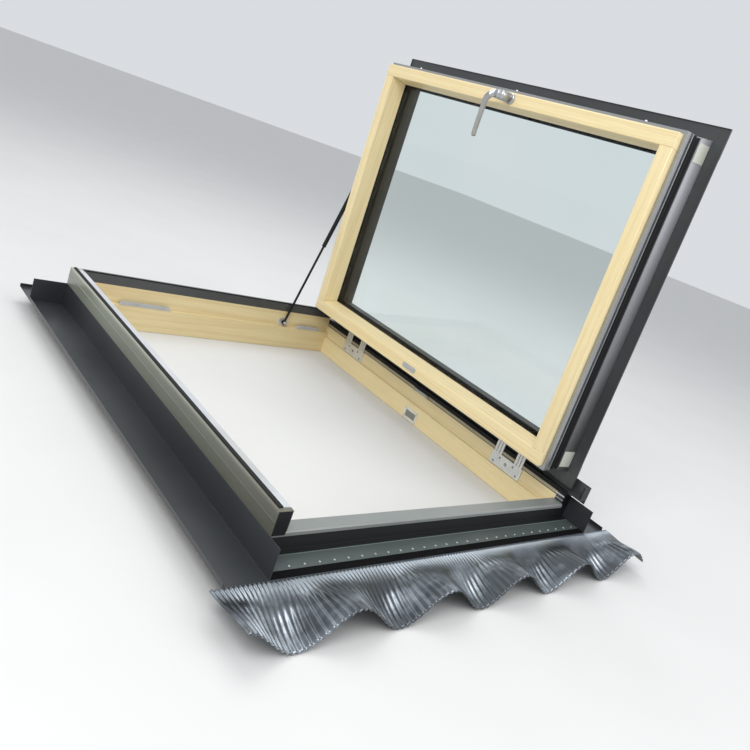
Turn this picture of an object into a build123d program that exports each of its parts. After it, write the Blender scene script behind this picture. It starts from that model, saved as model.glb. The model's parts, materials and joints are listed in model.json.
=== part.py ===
from build123d import *
from math import cos, pi, radians, sin
import os

os.makedirs("parts", exist_ok=True)

# A side-hung roof access window, its sash swung open on two hinges.
# Origin: the middle of the frame on its underside. +X: the hinge side. +Y: up the roof slope.
# +Z: out of the roof. The sash is drawn shut, then swung about the hinge pins to where it stands.

# Driving sizes of the frame
frame_width = 940.0
frame_length = 1180.0
frame_height = 138.0
hinge_jamb_drop = 20.0
timber_thickness = 36.0
ledge_height = 75.0
hinge_ledge_height = 59.0
ledge_depth = 7.0
head_recess_depth = 14.0
cover_leg_bottom = 113.0
head_leg_bottom = 128.0
sill_height = 83.0
sill_leg_bottom = 75.0

# Sheet metal
cover_sheet = 1.5
flashing_sheet = 1.2
cover_top = 155.0
cover_skirt_bottom = 106.0
cover_bead_height = 132.0
cover_nose = 40.0
corner_cover_length = 72.0
hinge_cover_gap = 5.0
sill_cover_rise = 2.5
sill_lip_start = 1.5
sill_lip_reach = 4.5
sill_lip_drop = 3.0
sill_lip_height = 7.0
sill_crease_height = 44.0
sill_strip_edge = 56.0
end_plate = 1.5

# Flashing and pleated apron
gutter_width = 88.0
gutter_fold = 9.0
head_flashing_width = 110.0
upstand_gap = 0.3
apron_half_width = 580.0
apron_top = 75.0
apron_bottom = 200.0
pleat_pitch = 15.0
pleat_depth = 3.5
wave_pitch = 222.0
wave_crest = -142.0
wave_height = 60.0
wave_middle = 34.0
rivet_pitch = 33.3
rivet_radius = 3.0
rivet_inset = 9.0
head_sides = 12

# Sash
sash_gap = 12.0
sash_face_height = 42.0
sash_thickness = 80.0
stile_width = 35.0
stile_outer_width = 45.0
rebate_width = 24.0
arris_radius = 2.5
channel_depth = 9.0
channel_bottom = 20.0
channel_top = 46.0
channel_wall = 1.2
slot_bottom = 33.0
slot_top = 43.0
profile_wall = 2.0
profile_flare = 15.0
profile_corner_leg = 44.0
profile_corner_sheet = 1.2
profile_corner_edge = 2.0
cladding_height = 119.5
cladding_overhang = 48.0
cladding_sheet = 1.5
cladding_lip = 4.0
cladding_corner_leg = 70.0
cap_wall = 2.0
cap_foot_reach = 50.0
cap_foot_height = 6.5

# Glazing
seal_thickness = 2.0
pane_thickness = 6.0
pane_gap = 12.0
glass_clearance = 4.0
spacer_inset = 3.0
spacer_width = 11.0

# Hinges
pin_inset = 24.0
pin_height = 150.0
open_angle = 88.2
hinge_end_distance = 204.0
leaf_length = 116.0
leaf_thickness = 3.0
leaf_bottom = 60.0
leaf_top = 97.0
knuckle_radius = 6.5
knuckle_width = 5.6
knuckle_gap = 4.6
knuckle_sides = 12
knuckle_group_offset = 39.0
pin_radius = 3.0
pin_head = 2.0
running_clearance = 0.3

# Handle, lock and fittings
handle_from_bottom = 520.0
handle_across = 17.0
rosette_radius = 15.0
rosette_height = 6.0
rosette_chamfer = 2.0
handle_hub_radius = 9.0
handle_hub_height = 12.0
handle_stand_off = 47.0
handle_neck = 55.0
handle_grip = 116.0
grip_width = 17.0
grip_thickness = 12.0
grip_chamfer = 3.5
grip_bend = 10.0
lock_travel = 20.0
lock_pin_radius = 3.0
lock_pin_reach = 14.0
lock_height = 38.0
lock_low_end = 118.0
lock_high_end = 112.0
lock_middle = 3.0
lock_bar_past_pin = 30.0
lock_bar_thickness = 3.0
lock_bar_width = 17.0
lock_bar_gap = 0.4
keep_length = 70.0
keep_height = 22.0
keep_plate = 2.2
keep_lug = 6.0
keep_stand = 7.0

# Gas strut, in one plane between the sash and the head of the frame
strut_wall_gap = 8.5
strut_foot_from_hinge = 200.0
strut_foot_z = 90.0
strut_eye_from_hinge = 520.0
strut_eye_depth = 44.5
strut_tube_radius = 7.0
strut_tube_wall = 1.0
strut_tube_length = 300.0
strut_rod_radius = 4.0
strut_rod_length = 318.0
strut_eye_radius = 8.0
strut_eye_width = 8.0
strut_neck = 16.0
strut_stud_radius = 3.5

# Fixing brackets
bracket_spacing_x = 660.0
bracket_reach = 50.0
bracket_hole_in = 30.0
bracket_width = 60.0
bracket_height = 38.0
bracket_screw_height = 20.0
bracket_screw_offset = 18.0
bracket_sheet = 2.5
bracket_hole_radius = 3.0

# Places worked out from the sizes above
half_width = frame_width / 2
half_length = frame_length / 2
jamb_top = frame_height - hinge_jamb_drop
face_inset = timber_thickness - ledge_depth
head_face_inset = timber_thickness - head_recess_depth
sash_half_width = half_width - timber_thickness - sash_gap
sash_half_length = half_length - timber_thickness - sash_gap
sill_cover_top = sill_height + sill_cover_rise
sash_back = sash_face_height
pin_x = sash_half_width + pin_inset
glass_edge = rebate_width + glass_clearance
seal_level = 52.0
pane_level = seal_level + seal_thickness
glass_thickness = 2 * pane_thickness + pane_gap
outer_seal_level = pane_level + glass_thickness
cap_level = outer_seal_level + cladding_sheet
pan_top = sill_crease_height - flashing_sheet
upstand_top = cover_skirt_bottom - upstand_gap
hinge_places = (hinge_end_distance - half_length, half_length - hinge_end_distance)
knuckle_step = knuckle_width + knuckle_gap
lock_places = (lock_low_end - sash_half_length, lock_middle, sash_half_length - lock_high_end)
strut_plane = half_length - head_face_inset - strut_wall_gap
strut_foot_x = pin_x - strut_foot_from_hinge

pin_axis = Location((pin_x, 0, pin_height))
open_place = pin_axis * Location((0, 0, 0), (0, open_angle, 0)) * pin_axis.inverse()

outward = {
    "left": Vector(-1, 0, 0),
    "hinge": Vector(1, 0, 0),
    "head": Vector(0, 1, 0),
    "sill": Vector(0, -1, 0),
}
sides = ("left", "hinge", "head", "sill")


def section_plane(side, across, base=0.0, along=0.0):
    """A plane across one side: local x points outward, local y points up."""
    out = outward[side]
    run = out.cross(Vector(0, 0, 1))
    return Plane(origin=out * across + run * along + Vector(0, 0, base), x_dir=out, z_dir=run)


def half_across(side, width, length):
    """From the middle to one side of a rectangle."""
    return width if side in ("left", "hinge") else length


def half_along(side, width, length):
    """Half the run of one side of a rectangle."""
    return length if side in ("left", "hinge") else width


def run_section(points, plane, amount, both=False, mode=Mode.ADD, rounding=0.0):
    """Extrude a closed outline of straight lines from its plane, its lowest corners rounded."""
    with BuildSketch(plane) as outline:
        with BuildLine():
            Polyline(*points, close=True)
        make_face()
        if rounding:
            fillet(outline.vertices().group_by(Axis.Y)[0], radius=rounding)
    extrude(outline.sketch, amount=amount, both=both, mode=mode)


def frame_section(points, side, half_run):
    """A straight member of the frame, its outline measured from the timber's outer face."""
    run_section(points, section_plane(side, half_across(side, half_width, half_length)), half_run, both=True)


def mitred_bar(points, side):
    """One side of the sash, mitred at both ends, its outline measured from the timber's outer face."""
    across = half_across(side, sash_half_width, sash_half_length)
    along = half_along(side, sash_half_width, sash_half_length)
    run = outward[side].cross(Vector(0, 0, 1))
    with BuildPart() as bar:
        run_section(points, section_plane(side, across, sash_back), along + 2 * cladding_overhang, both=True)
        for end in (-1, 1):
            corner = outward[side] * across + run * (end * along)
            split(bisect_by=Plane(origin=corner, z_dir=run * end - outward[side]), keep=Keep.BOTTOM)
    return bar.part


def box_between(low, high, mode=Mode.ADD):
    """A box from its lowest corner to its highest."""
    size = [high[i] - low[i] for i in range(3)]
    with Locations(tuple((high[i] + low[i]) / 2 for i in range(3))):
        Box(*size, mode=mode)


def rod_between(start, end, radius, mode=Mode.ADD):
    """A round bar from one point to another."""
    start, end = Vector(*start), Vector(*end)
    with BuildSketch(Plane(origin=start, z_dir=end - start)) as outline:
        Circle(radius)
    extrude(outline.sketch, amount=(end - start).length, mode=mode)


def finish(piece, name):
    """Name a piece and write it."""
    piece.part.label = name
    export_step(piece.part, f"parts/{name}.step")


def finish_on_sash(piece, name):
    """Swing a piece that was drawn shut to where the open sash holds it, then write it."""
    piece.part = open_place * piece.part
    finish(piece, name)


# Frame timbers
def jamb_outline(ledge, inset, top, rebate_bottom, rebate):
    """The stepped outline of a frame timber, with a rebate above for the cover or the gasket."""
    return [
        (0, 0),
        (-timber_thickness, 0),
        (-timber_thickness, ledge),
        (-inset, ledge),
        (-inset, rebate_bottom),
        (-inset + rebate, rebate_bottom),
        (-inset + rebate, top),
        (0, top),
    ]


gasket_bottom = jamb_top - 10.0
gasket_width = 6.0

with BuildPart() as frame_stile_left:
    frame_section(jamb_outline(ledge_height, face_inset, frame_height, cover_leg_bottom, cover_sheet),
                  "left", half_length)
finish(frame_stile_left, "frame_stile_left")

with BuildPart() as frame_stile_hinge:
    frame_section(jamb_outline(hinge_ledge_height, face_inset, jamb_top, gasket_bottom, gasket_width),
                  "hinge", half_length)
finish(frame_stile_hinge, "frame_stile_hinge")

with BuildPart() as frame_head:
    frame_section(jamb_outline(ledge_height, head_face_inset, frame_height, head_leg_bottom, cover_sheet),
                  "head", half_width - face_inset)
    add(frame_stile_left.part, mode=Mode.SUBTRACT)
    add(frame_stile_hinge.part, mode=Mode.SUBTRACT)
finish(frame_head, "frame_head")

with BuildPart() as frame_sill:
    frame_section(jamb_outline(hinge_ledge_height, face_inset, sill_height, sill_leg_bottom, cover_sheet),
                  "sill", half_width - face_inset)
    add(frame_stile_left.part, mode=Mode.SUBTRACT)
    add(frame_stile_hinge.part, mode=Mode.SUBTRACT)
finish(frame_sill, "frame_sill")


# Covers over the frame
def cap_outline(inset, leg_bottom):
    """A folded cover over a timber: a leg inside, a flat top, and a skirt with a bead outside."""
    return [
        (0, cover_skirt_bottom),
        (cover_sheet, cover_skirt_bottom),
        (cover_sheet, cover_bead_height - 2),
        (2 * cover_sheet, cover_bead_height - 1),
        (2 * cover_sheet, cover_bead_height + 1),
        (cover_sheet, cover_bead_height + 2),
        (cover_sheet, cover_top),
        (-inset, cover_top),
        (-inset, leg_bottom),
        (-inset + cover_sheet, leg_bottom),
        (-inset + cover_sheet, cover_top - cover_sheet),
        (0, cover_top - cover_sheet),
    ]


cover_front = -half_length - cover_nose
corner_joint = half_length - corner_cover_length

left_cap = cap_outline(face_inset, cover_leg_bottom)
with BuildPart() as cover_left:
    run_section(left_cap, section_plane("left", half_width, along=corner_joint), cover_front - corner_joint)
finish(cover_left, "cover_left")

with BuildPart() as cover_left_corner:
    run_section(left_cap, section_plane("left", half_width, along=corner_joint), corner_cover_length)
    box_between((-half_width - cover_sheet, half_length, cover_skirt_bottom),
                (-half_width + face_inset, half_length + cover_sheet, cover_top))
finish(cover_left_corner, "cover_left_corner")

hinge_upstand = half_width + hinge_cover_gap
with BuildPart() as cover_hinge:
    run_section(
        [
            (hinge_cover_gap, cover_skirt_bottom),
            (hinge_cover_gap + cover_sheet, cover_skirt_bottom),
            (hinge_cover_gap + cover_sheet, cover_top),
            (hinge_cover_gap, cover_top),
            (hinge_cover_gap, jamb_top + cover_sheet),
            (gasket_width - face_inset, jamb_top + cover_sheet),
            (gasket_width - face_inset, jamb_top),
            (hinge_cover_gap, jamb_top),
        ],
        section_plane("hinge", half_width, along=-half_length),
        frame_length + cover_nose,
    )
finish(cover_hinge, "cover_hinge")

head_cover_end = half_width - face_inset
with BuildPart() as cover_head:
    frame_section(cap_outline(head_face_inset, head_leg_bottom), "head", head_cover_end)
    box_between((head_cover_end - cover_sheet, half_length - head_face_inset, frame_height),
                (head_cover_end, half_length, cover_top - cover_sheet))
finish(cover_head, "cover_head")

lip_knee = sill_cover_top - sill_lip_drop
lip_bottom = lip_knee - sill_lip_height
lip_inner = sill_lip_reach - cover_sheet
with BuildPart() as cover_sill:
    frame_section(
        [
            (-face_inset, sill_leg_bottom),
            (-face_inset, sill_cover_top),
            (sill_lip_start, sill_cover_top),
            (sill_lip_reach, lip_knee),
            (sill_lip_reach, lip_bottom),
            (lip_inner, lip_bottom),
            (lip_inner, lip_knee),
            (sill_lip_start, sill_cover_top - cover_sheet),
            (cover_sheet - face_inset, sill_cover_top - cover_sheet),
            (cover_sheet - face_inset, sill_leg_bottom),
        ],
        "sill",
        half_width - face_inset,
    )
finish(cover_sill, "cover_sill")

flashing_top = lip_bottom + cover_sheet
jamb_front = -half_length - end_plate
cap_back = cover_front + 2 * cover_sheet
left_cap_end = -half_width + face_inset - cover_sheet
with BuildPart() as sill_corner_caps:
    box_between((-half_width, cover_front, cover_skirt_bottom),
                (left_cap_end, cap_back, cover_top - cover_sheet))
    box_between((half_width - face_inset + gasket_width, cover_front, jamb_top + cover_sheet),
                (hinge_upstand, cap_back, cover_top))
    box_between((-half_width, jamb_front, flashing_top), (left_cap_end, -half_length, frame_height))
    box_between((half_width - face_inset, jamb_front, flashing_top), (half_width, -half_length, jamb_top))
finish(sill_corner_caps, "sill_corner_caps")

# Black gasket along the inner edge of the covers and in the hinge jamb
gasket_height = 5.0
gasket_lip = 2.0
gasket_nose = 3.0
with BuildPart() as frame_gasket:
    for side, inset, width, half_run in (("left", face_inset, 12.0, half_length - head_face_inset),
                                         ("head", head_face_inset, 10.0, half_width - face_inset)):
        outer = width - inset
        frame_section([(-inset, cover_top), (outer, cover_top), (outer, cover_top + gasket_lip),
                       (-inset + gasket_nose, cover_top + gasket_height),
                       (-inset, cover_top + gasket_height)], side, half_run)
    frame_section([(-face_inset, gasket_bottom), (-face_inset + gasket_width, gasket_bottom),
                   (-face_inset + gasket_width, jamb_top + cover_sheet + gasket_lip),
                   (-face_inset, jamb_top + cover_sheet)], "hinge", half_length)
finish(frame_gasket, "frame_gasket")

# Flashing below, beside and above the frame
fold_outer = cover_sheet
strip_level = sill_crease_height + cover_sheet
with BuildPart() as sill_flashing:
    frame_section(
        [
            (0, flashing_top),
            (fold_outer, flashing_top),
            (fold_outer, strip_level),
            (sill_strip_edge, strip_level),
            (sill_strip_edge, sill_crease_height),
            (0, sill_crease_height),
        ],
        "sill",
        half_width,
    )
finish(sill_flashing, "sill_flashing")


def gutter_outline(width):
    """A pan with an upstand against the timber and a fold along its outer edge."""
    return [
        (0, upstand_top),
        (flashing_sheet, upstand_top),
        (flashing_sheet, pan_top),
        (width - flashing_sheet, pan_top),
        (width - flashing_sheet, pan_top + gutter_fold),
        (width, pan_top + gutter_fold),
        (width, pan_top - flashing_sheet),
        (0, pan_top - flashing_sheet),
    ]


gutter_front = -half_length - apron_top
for side, name in (("left", "side_flashing_left"), ("hinge", "side_flashing_hinge")):
    with BuildPart() as side_flashing:
        facing = 1 if side == "left" else -1
        gutter_end = section_plane(side, half_width, along=facing * half_length)
        run_section(gutter_outline(gutter_width), gutter_end, facing * (gutter_front - half_length))
    finish(side_flashing, name)

with BuildPart() as head_flashing:
    frame_section(gutter_outline(head_flashing_width), "head", half_width + gutter_width)
finish(head_flashing, "head_flashing")


# Pleated apron, dressed down over the waves of a roof
def pleated_outline(level, swing):
    """One edge of the apron: pleats on a wave, closed below by the thickness of the sheet."""
    folds = round(2 * 2 * apron_half_width / pleat_pitch)
    upper = []
    for fold in range(folds + 1):
        x = apron_half_width * (2 * fold / folds - 1)
        wave = swing * cos(2 * pi * (x - wave_crest) / wave_pitch)
        upper.append((x, level + wave + pleat_depth / 2 * (-1) ** fold))
    return upper + [(x, z - flashing_sheet) for x, z in reversed(upper)]


with BuildPart() as apron:
    frame_section([(fold_outer, pan_top), (apron_top, pan_top), (apron_top, sill_crease_height),
                   (fold_outer, sill_crease_height)], "sill", half_width)
    edges = []
    for distance, level, swing in ((apron_top, pan_top, 0.0), (apron_bottom, wave_middle, wave_height / 2)):
        edge_plane = Plane(origin=(0, -half_length - distance, 0), x_dir=(1, 0, 0), z_dir=(0, -1, 0))
        with BuildSketch(edge_plane) as edge:
            with BuildLine():
                Polyline(*pleated_outline(level, swing), close=True)
            make_face()
        edges.append(edge.sketch)
    loft(edges, ruled=True)
finish(apron, "apron")

with BuildPart() as apron_rivets:
    rivet_count = int(2 * (half_width - rivet_pitch / 2) / rivet_pitch) + 1
    with BuildSketch(Plane.XY.offset(strip_level)) as rivet_heads:
        with Locations((0, -half_length - sill_strip_edge + rivet_inset)):
            with GridLocations(rivet_pitch, 1, rivet_count, 1):
                RegularPolygon(rivet_radius, head_sides)
    extrude(rivet_heads.sketch, amount=rivet_radius / 2, taper=20)
finish(apron_rivets, "apron_rivets")

# Sash timbers: the stiles run through and the rails stand between them
stile_outline = [
    (0, 0),
    (-stile_width, 0),
    (-stile_outer_width, seal_level),
    (-rebate_width, seal_level),
    (-rebate_width, sash_thickness),
    (0, sash_thickness),
]


def sash_member(side, rounding=arris_radius, mode=Mode.ADD):
    """One timber of the sash at full length, its arrises towards the room rounded."""
    across = half_across(side, sash_half_width, sash_half_length)
    along = half_along(side, sash_half_width, sash_half_length)
    plane = section_plane(side, across, sash_back)
    run_section(stile_outline, plane, along, both=True, mode=mode, rounding=rounding)


with BuildPart() as sash_stile_hinge:
    sash_member("hinge")

with BuildPart() as sash_stile_free:
    sash_member("left")

with BuildPart() as sash_rail_top:
    sash_member("head")
    sash_member("hinge", rounding=0.0, mode=Mode.SUBTRACT)
    sash_member("left", rounding=0.0, mode=Mode.SUBTRACT)

with BuildPart() as sash_rail_bottom:
    sash_member("sill")
    sash_member("hinge", rounding=0.0, mode=Mode.SUBTRACT)
    sash_member("left", rounding=0.0, mode=Mode.SUBTRACT)

finish_on_sash(sash_stile_hinge, "sash_stile_hinge")
finish_on_sash(sash_stile_free, "sash_stile_free")
finish_on_sash(sash_rail_top, "sash_rail_top")
finish_on_sash(sash_rail_bottom, "sash_rail_bottom")


def glazing_plate(inset, level, thickness, mode=Mode.ADD):
    """A rectangle that follows the sash at an inset, at a level above the sash's inner face."""
    width = sash_half_width - inset
    length = sash_half_length - inset
    base = sash_back + level
    box_between((-width, -length, base), (width, length, base + thickness), mode=mode)


def glazing_ring(outer_inset, inner_inset, level, thickness):
    """A flat ring that follows the sash between two insets."""
    glazing_plate(outer_inset, level, thickness)
    glazing_plate(inner_inset, level, thickness, mode=Mode.SUBTRACT)


# Sealed unit: two panes about a spacer
with BuildPart() as glass_inner:
    glazing_plate(glass_edge, pane_level, pane_thickness)
finish_on_sash(glass_inner, "glass_inner")

with BuildPart() as glass_outer:
    glazing_plate(glass_edge, pane_level + pane_thickness + pane_gap, pane_thickness)
finish_on_sash(glass_outer, "glass_outer")

spacer_edge = glass_edge + spacer_inset
with BuildPart() as glass_spacer:
    glazing_ring(spacer_edge, spacer_edge + spacer_width, pane_level + pane_thickness, pane_gap)
finish_on_sash(glass_spacer, "glass_spacer")

with BuildPart() as glazing_seal:
    glazing_ring(glass_edge, stile_outer_width, seal_level, seal_thickness)
finish_on_sash(glazing_seal, "glazing_seal")

# Black cap that holds the glass, with a stepped foot on a seal of its own
cap_edge = stile_outer_width + 1.0
with BuildPart() as glazing_cap:
    for side in sides:
        add(mitred_bar([(-glass_edge, outer_seal_level), (-cap_foot_reach, outer_seal_level),
                        (-cap_foot_reach, outer_seal_level + cap_foot_height / 2),
                        (-cap_edge, outer_seal_level + cap_foot_height), (-cap_edge, cladding_height),
                        (-cap_edge + cap_wall, cladding_height),
                        (-cap_edge + cap_wall, cap_level + cap_wall),
                        (-glass_edge, cap_level + cap_wall)], side))
finish_on_sash(glazing_cap, "glazing_cap")

# Lock channel round the edge of the sash, open outwards, with a gasket above it
with BuildPart() as lock_channel:
    for side in sides:
        add(mitred_bar([(0, channel_bottom), (channel_depth, channel_bottom), (channel_depth, slot_bottom),
                        (channel_depth - channel_wall, slot_bottom),
                        (channel_depth - channel_wall, channel_bottom + channel_wall),
                        (channel_wall, channel_bottom + channel_wall),
                        (channel_wall, channel_top - channel_wall),
                        (channel_depth - channel_wall, channel_top - channel_wall),
                        (channel_depth - channel_wall, slot_top), (channel_depth, slot_top),
                        (channel_depth, channel_top), (0, channel_top)], side))
finish_on_sash(lock_channel, "lock_channel")

gasket_start = 54.0
with BuildPart() as sash_gasket:
    for side in sides:
        add(mitred_bar([(0, gasket_start), (3, gasket_start), (8, gasket_start + 3), (8, gasket_start + 7),
                        (4, gasket_start + 10), (4, gasket_start + 15), (8, gasket_start + 18),
                        (8, sash_thickness - 3), (6, sash_thickness), (0, sash_thickness)], side))
finish_on_sash(sash_gasket, "sash_gasket")

# Flared edge profile on the outside of the timbers, with square corner pieces
web_top = sash_thickness + profile_wall
edge_outline = [
    (-rebate_width, sash_thickness),
    (channel_depth, sash_thickness),
    (profile_flare, cladding_height),
    (profile_flare - profile_wall, cladding_height),
    (channel_depth - profile_wall, web_top),
    (-rebate_width, web_top),
]
for side in sides:
    with BuildPart() as edge_profile:
        add(mitred_bar(edge_outline, side))
    finish_on_sash(edge_profile, f"edge_profile_{side}")

flare_run = profile_flare - channel_depth
flare_rise = cladding_height - sash_thickness


def flare_point(height, out):
    """A point off the outer face of the edge profile, at a height above its web."""
    along = height / flare_rise
    return (channel_depth + flare_run * along + out, sash_thickness + height)


def flare_plate(side, low, high, thickness, along, half_run):
    """A flat plate that lies on the outside of the flared edge profile."""
    outline = [
        flare_point(low, 0),
        flare_point(high, 0),
        flare_point(high, thickness),
        flare_point(low, thickness),
    ]
    across = half_across(side, sash_half_width, sash_half_length)
    run_section(outline, section_plane(side, across, sash_back, along=along), half_run, both=True)


with BuildPart() as edge_corners:
    for side in sides:
        reach = half_along(side, sash_half_width, sash_half_length) - profile_corner_leg / 2
        for end in (-1, 1):
            flare_plate(side, profile_corner_edge, flare_rise - profile_corner_edge, profile_corner_sheet,
                        end * reach, profile_corner_leg / 2)
finish_on_sash(edge_corners, "edge_corners")

# Cladding sheets over the edge of the glass, with a lip outside and lapped corner pieces
cladding_top = cladding_height + cladding_sheet
cladding_outline = [
    (-cap_edge, cladding_height),
    (cladding_overhang - cladding_sheet, cladding_height),
    (cladding_overhang - cladding_sheet, cladding_top - cladding_lip),
    (cladding_overhang, cladding_top - cladding_lip),
    (cladding_overhang, cladding_top),
    (-cap_edge, cladding_top),
]
for side in sides:
    with BuildPart() as cladding:
        add(mitred_bar(cladding_outline, side))
    finish_on_sash(cladding, f"cladding_{side}")

with BuildPart() as cladding_corners:
    reach = cladding_overhang
    width = sash_half_width + reach
    length = sash_half_length + reach
    level = sash_back + cladding_top
    for x in (-1, 1):
        for y in (-1, 1):
            with BuildSketch(Plane.XY.offset(level)) as lap:
                with BuildLine():
                    Polyline((x * width, y * length), (x * (width - cladding_corner_leg), y * length),
                             (x * (width - cladding_corner_leg), y * (length - cladding_corner_leg)),
                             (x * width, y * (length - cladding_corner_leg)), close=True)
                make_face()
            extrude(lap.sketch, amount=1.0)
    inner = 2 * (sash_half_width - cap_edge), 2 * (sash_half_length - cap_edge)
    with Locations((0, 0, level)):
        Box(inner[0], inner[1], 4 * cladding_sheet, mode=Mode.SUBTRACT)
finish_on_sash(cladding_corners, "cladding_corners")

# Hinges: a leaf on the jamb and a leaf on the edge profile, curled round four pins
leaf_front = half_width - face_inset - leaf_thickness
frame_knuckles = (-knuckle_step, 0.0, knuckle_step)
sash_knuckles = (-knuckle_step / 2, knuckle_step / 2)
sash_knuckle_width = knuckle_gap - 2 * running_clearance


def knuckle_places(centre, steps):
    """The middles of the knuckles of both groups on one leaf."""
    groups = (centre - knuckle_group_offset, centre + knuckle_group_offset)
    return [group + step for group in groups for step in steps]


def knuckle_ring(middle, width, bore, arm):
    """A leaf's curl: a ring about the pin and the arm that joins it to the leaf."""
    plane = Plane(origin=(pin_x, middle - width / 2, pin_height), x_dir=(1, 0, 0), z_dir=(0, -1, 0))
    with BuildSketch(plane) as curl:
        RegularPolygon(knuckle_radius, knuckle_sides)
        with BuildLine():
            Polyline(*arm, close=True)
        make_face()
        RegularPolygon(bore, knuckle_sides, major_radius=False, mode=Mode.SUBTRACT)
    extrude(curl.sketch, amount=-width)


frame_arm = [
    (leaf_front - pin_x, leaf_top - pin_height),
    (leaf_front - pin_x + leaf_thickness, leaf_top - pin_height),
    (leaf_front - pin_x + leaf_thickness, 0),
    (leaf_front - pin_x, 0),
]
sash_leaf_thickness = 2.5
sash_leaf_foot = 3.0
sash_leaf_head = 2.0
sash_leaf_outline = [
    flare_point(sash_leaf_foot, 0),
    flare_point(flare_rise - sash_leaf_head, 0),
    flare_point(flare_rise - sash_leaf_head, sash_leaf_thickness),
    flare_point(sash_leaf_foot, sash_leaf_thickness),
]
arm_inner = -pin_inset + profile_flare
arm_level = knuckle_radius * cos(pi / knuckle_sides)
sash_arm = [
    (arm_inner, arm_level - sash_leaf_thickness),
    (0, arm_level - sash_leaf_thickness),
    (0, arm_level),
    (arm_inner, arm_level),
]

for place, name in zip(hinge_places, ("lower", "upper")):
    with BuildPart() as hinge_leaf:
        box_between((leaf_front, place - leaf_length / 2, leaf_bottom),
                    (leaf_front + leaf_thickness, place + leaf_length / 2, leaf_top))
        for middle in knuckle_places(place, frame_knuckles):
            knuckle_ring(middle, knuckle_width, pin_radius, frame_arm)
    finish(hinge_leaf, f"hinge_leaf_{name}")
    with BuildPart() as sash_leaf:
        run_section(sash_leaf_outline, section_plane("hinge", sash_half_width, sash_back, along=-place),
                    leaf_length / 2, both=True)
        for middle in knuckle_places(place, sash_knuckles):
            knuckle_ring(middle, sash_knuckle_width, pin_radius + running_clearance, sash_arm)
    finish_on_sash(sash_leaf, f"sash_leaf_{name}")

with BuildPart() as hinge_pins:
    for place in hinge_places:
        for group in (-knuckle_group_offset, knuckle_group_offset):
            low = place + group - knuckle_step - knuckle_width / 2
            high = place + group + knuckle_step + knuckle_width / 2
            rod_between((pin_x, low, pin_height), (pin_x, high, pin_height), pin_radius)
            rod_between((pin_x, high, pin_height), (pin_x, high + pin_head, pin_height),
                        pin_radius + pin_head)
finish(hinge_pins, "hinge_pins")

screw_radius = 3.2
middle_screw_radius = 4.6
screw_head = 1.2
screw_pattern = ((-0.38, -0.28), (-0.22, 0.2), (0.22, 0.2), (0.38, -0.28))
with BuildPart() as hinge_screws:
    for place in hinge_places:
        with BuildSketch(Plane(origin=(leaf_front, place, (leaf_bottom + leaf_top) / 2), x_dir=(0, 1, 0),
                               z_dir=(-1, 0, 0))) as heads:
            RegularPolygon(middle_screw_radius, head_sides)
            with Locations([(leaf_length * x, (leaf_top - leaf_bottom) * z) for x, z in screw_pattern]):
                RegularPolygon(screw_radius, head_sides)
        extrude(heads.sketch, amount=screw_head, taper=20)
finish(hinge_screws, "hinge_screws")

# Fittings on the frame
head_bracket_height = 12.0
head_bracket_depth = 8.0
head_bracket_slant = 9.0
head_inner = half_length - timber_thickness
head_bracket_spans = {
    "left": (140.0 - half_width, 302.0 - half_width),
    "right": (half_width - 170.0, half_width - 70.0),
}
for side, (start, end) in head_bracket_spans.items():
    with BuildPart() as head_bracket:
        bracket_plane = Plane(origin=(0, head_inner, ledge_height), x_dir=(1, 0, 0), z_dir=(0, -1, 0))
        with BuildSketch(bracket_plane) as bar:
            with BuildLine():
                Polyline((start, 0), (end, 0), (end - head_bracket_slant, head_bracket_height),
                         (start + head_bracket_slant, head_bracket_height), close=True)
            make_face()
        extrude(bar.sketch, amount=-head_bracket_depth)
    finish(head_bracket, f"head_bracket_{side}")

insert_length = 62.0
insert_height = 36.0
insert_thickness = 2.0
insert_place = 14.0
insert_foot = 4.0
insert_slot_length = 16.0
insert_slot_height = 8.0
insert_slot_spacing = 30.0
jamb_inner = half_width - timber_thickness
with BuildPart() as jamb_insert:
    insert_centre = (jamb_inner, insert_place, insert_foot + insert_height / 2)
    with BuildSketch(Plane(origin=insert_centre, x_dir=(0, 1, 0), z_dir=(-1, 0, 0))) as plate:
        Rectangle(insert_length, insert_height)
        chamfer(plate.vertices(), insert_thickness)
        with GridLocations(insert_slot_spacing, 1, 2, 1):
            Rectangle(insert_slot_length, insert_slot_height, mode=Mode.SUBTRACT)
    extrude(plate.sketch, amount=insert_thickness)
finish(jamb_insert, "jamb_insert")

catch_length = 70.0
catch_place = 9.0
catch_height = 8.0
catch_stand = 5.0
catch_lug = 2.0
catch_lug_length = 6.0
jamb_face = half_width - face_inset
with BuildPart() as catch_block:
    catch_low, catch_high = catch_place - catch_length / 2, catch_place + catch_length / 2
    catch_base = gasket_bottom - catch_height
    box_between((jamb_face - catch_stand, catch_low, catch_base), (jamb_face, catch_high, gasket_bottom))
    for start in (catch_low, catch_high - catch_lug_length):
        box_between((jamb_face - catch_stand - catch_lug, start, catch_base - catch_lug),
                    (jamb_face, start + catch_lug_length, gasket_bottom))
finish(catch_block, "catch_block")

with BuildPart() as lock_keeps:
    for place in lock_places:
        low = place + (lock_travel - keep_length) / 2
        high = low + keep_length
        top = ledge_height + keep_height
        box_between((-jamb_face, low, ledge_height), (-jamb_face + keep_plate, high, top))
        box_between((-jamb_face, low, ledge_height), (-jamb_face + keep_stand, low + keep_lug, top))
        box_between((-jamb_face, high - keep_lug, ledge_height), (-jamb_face + keep_stand, high, top))
finish(lock_keeps, "lock_keeps")

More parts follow.
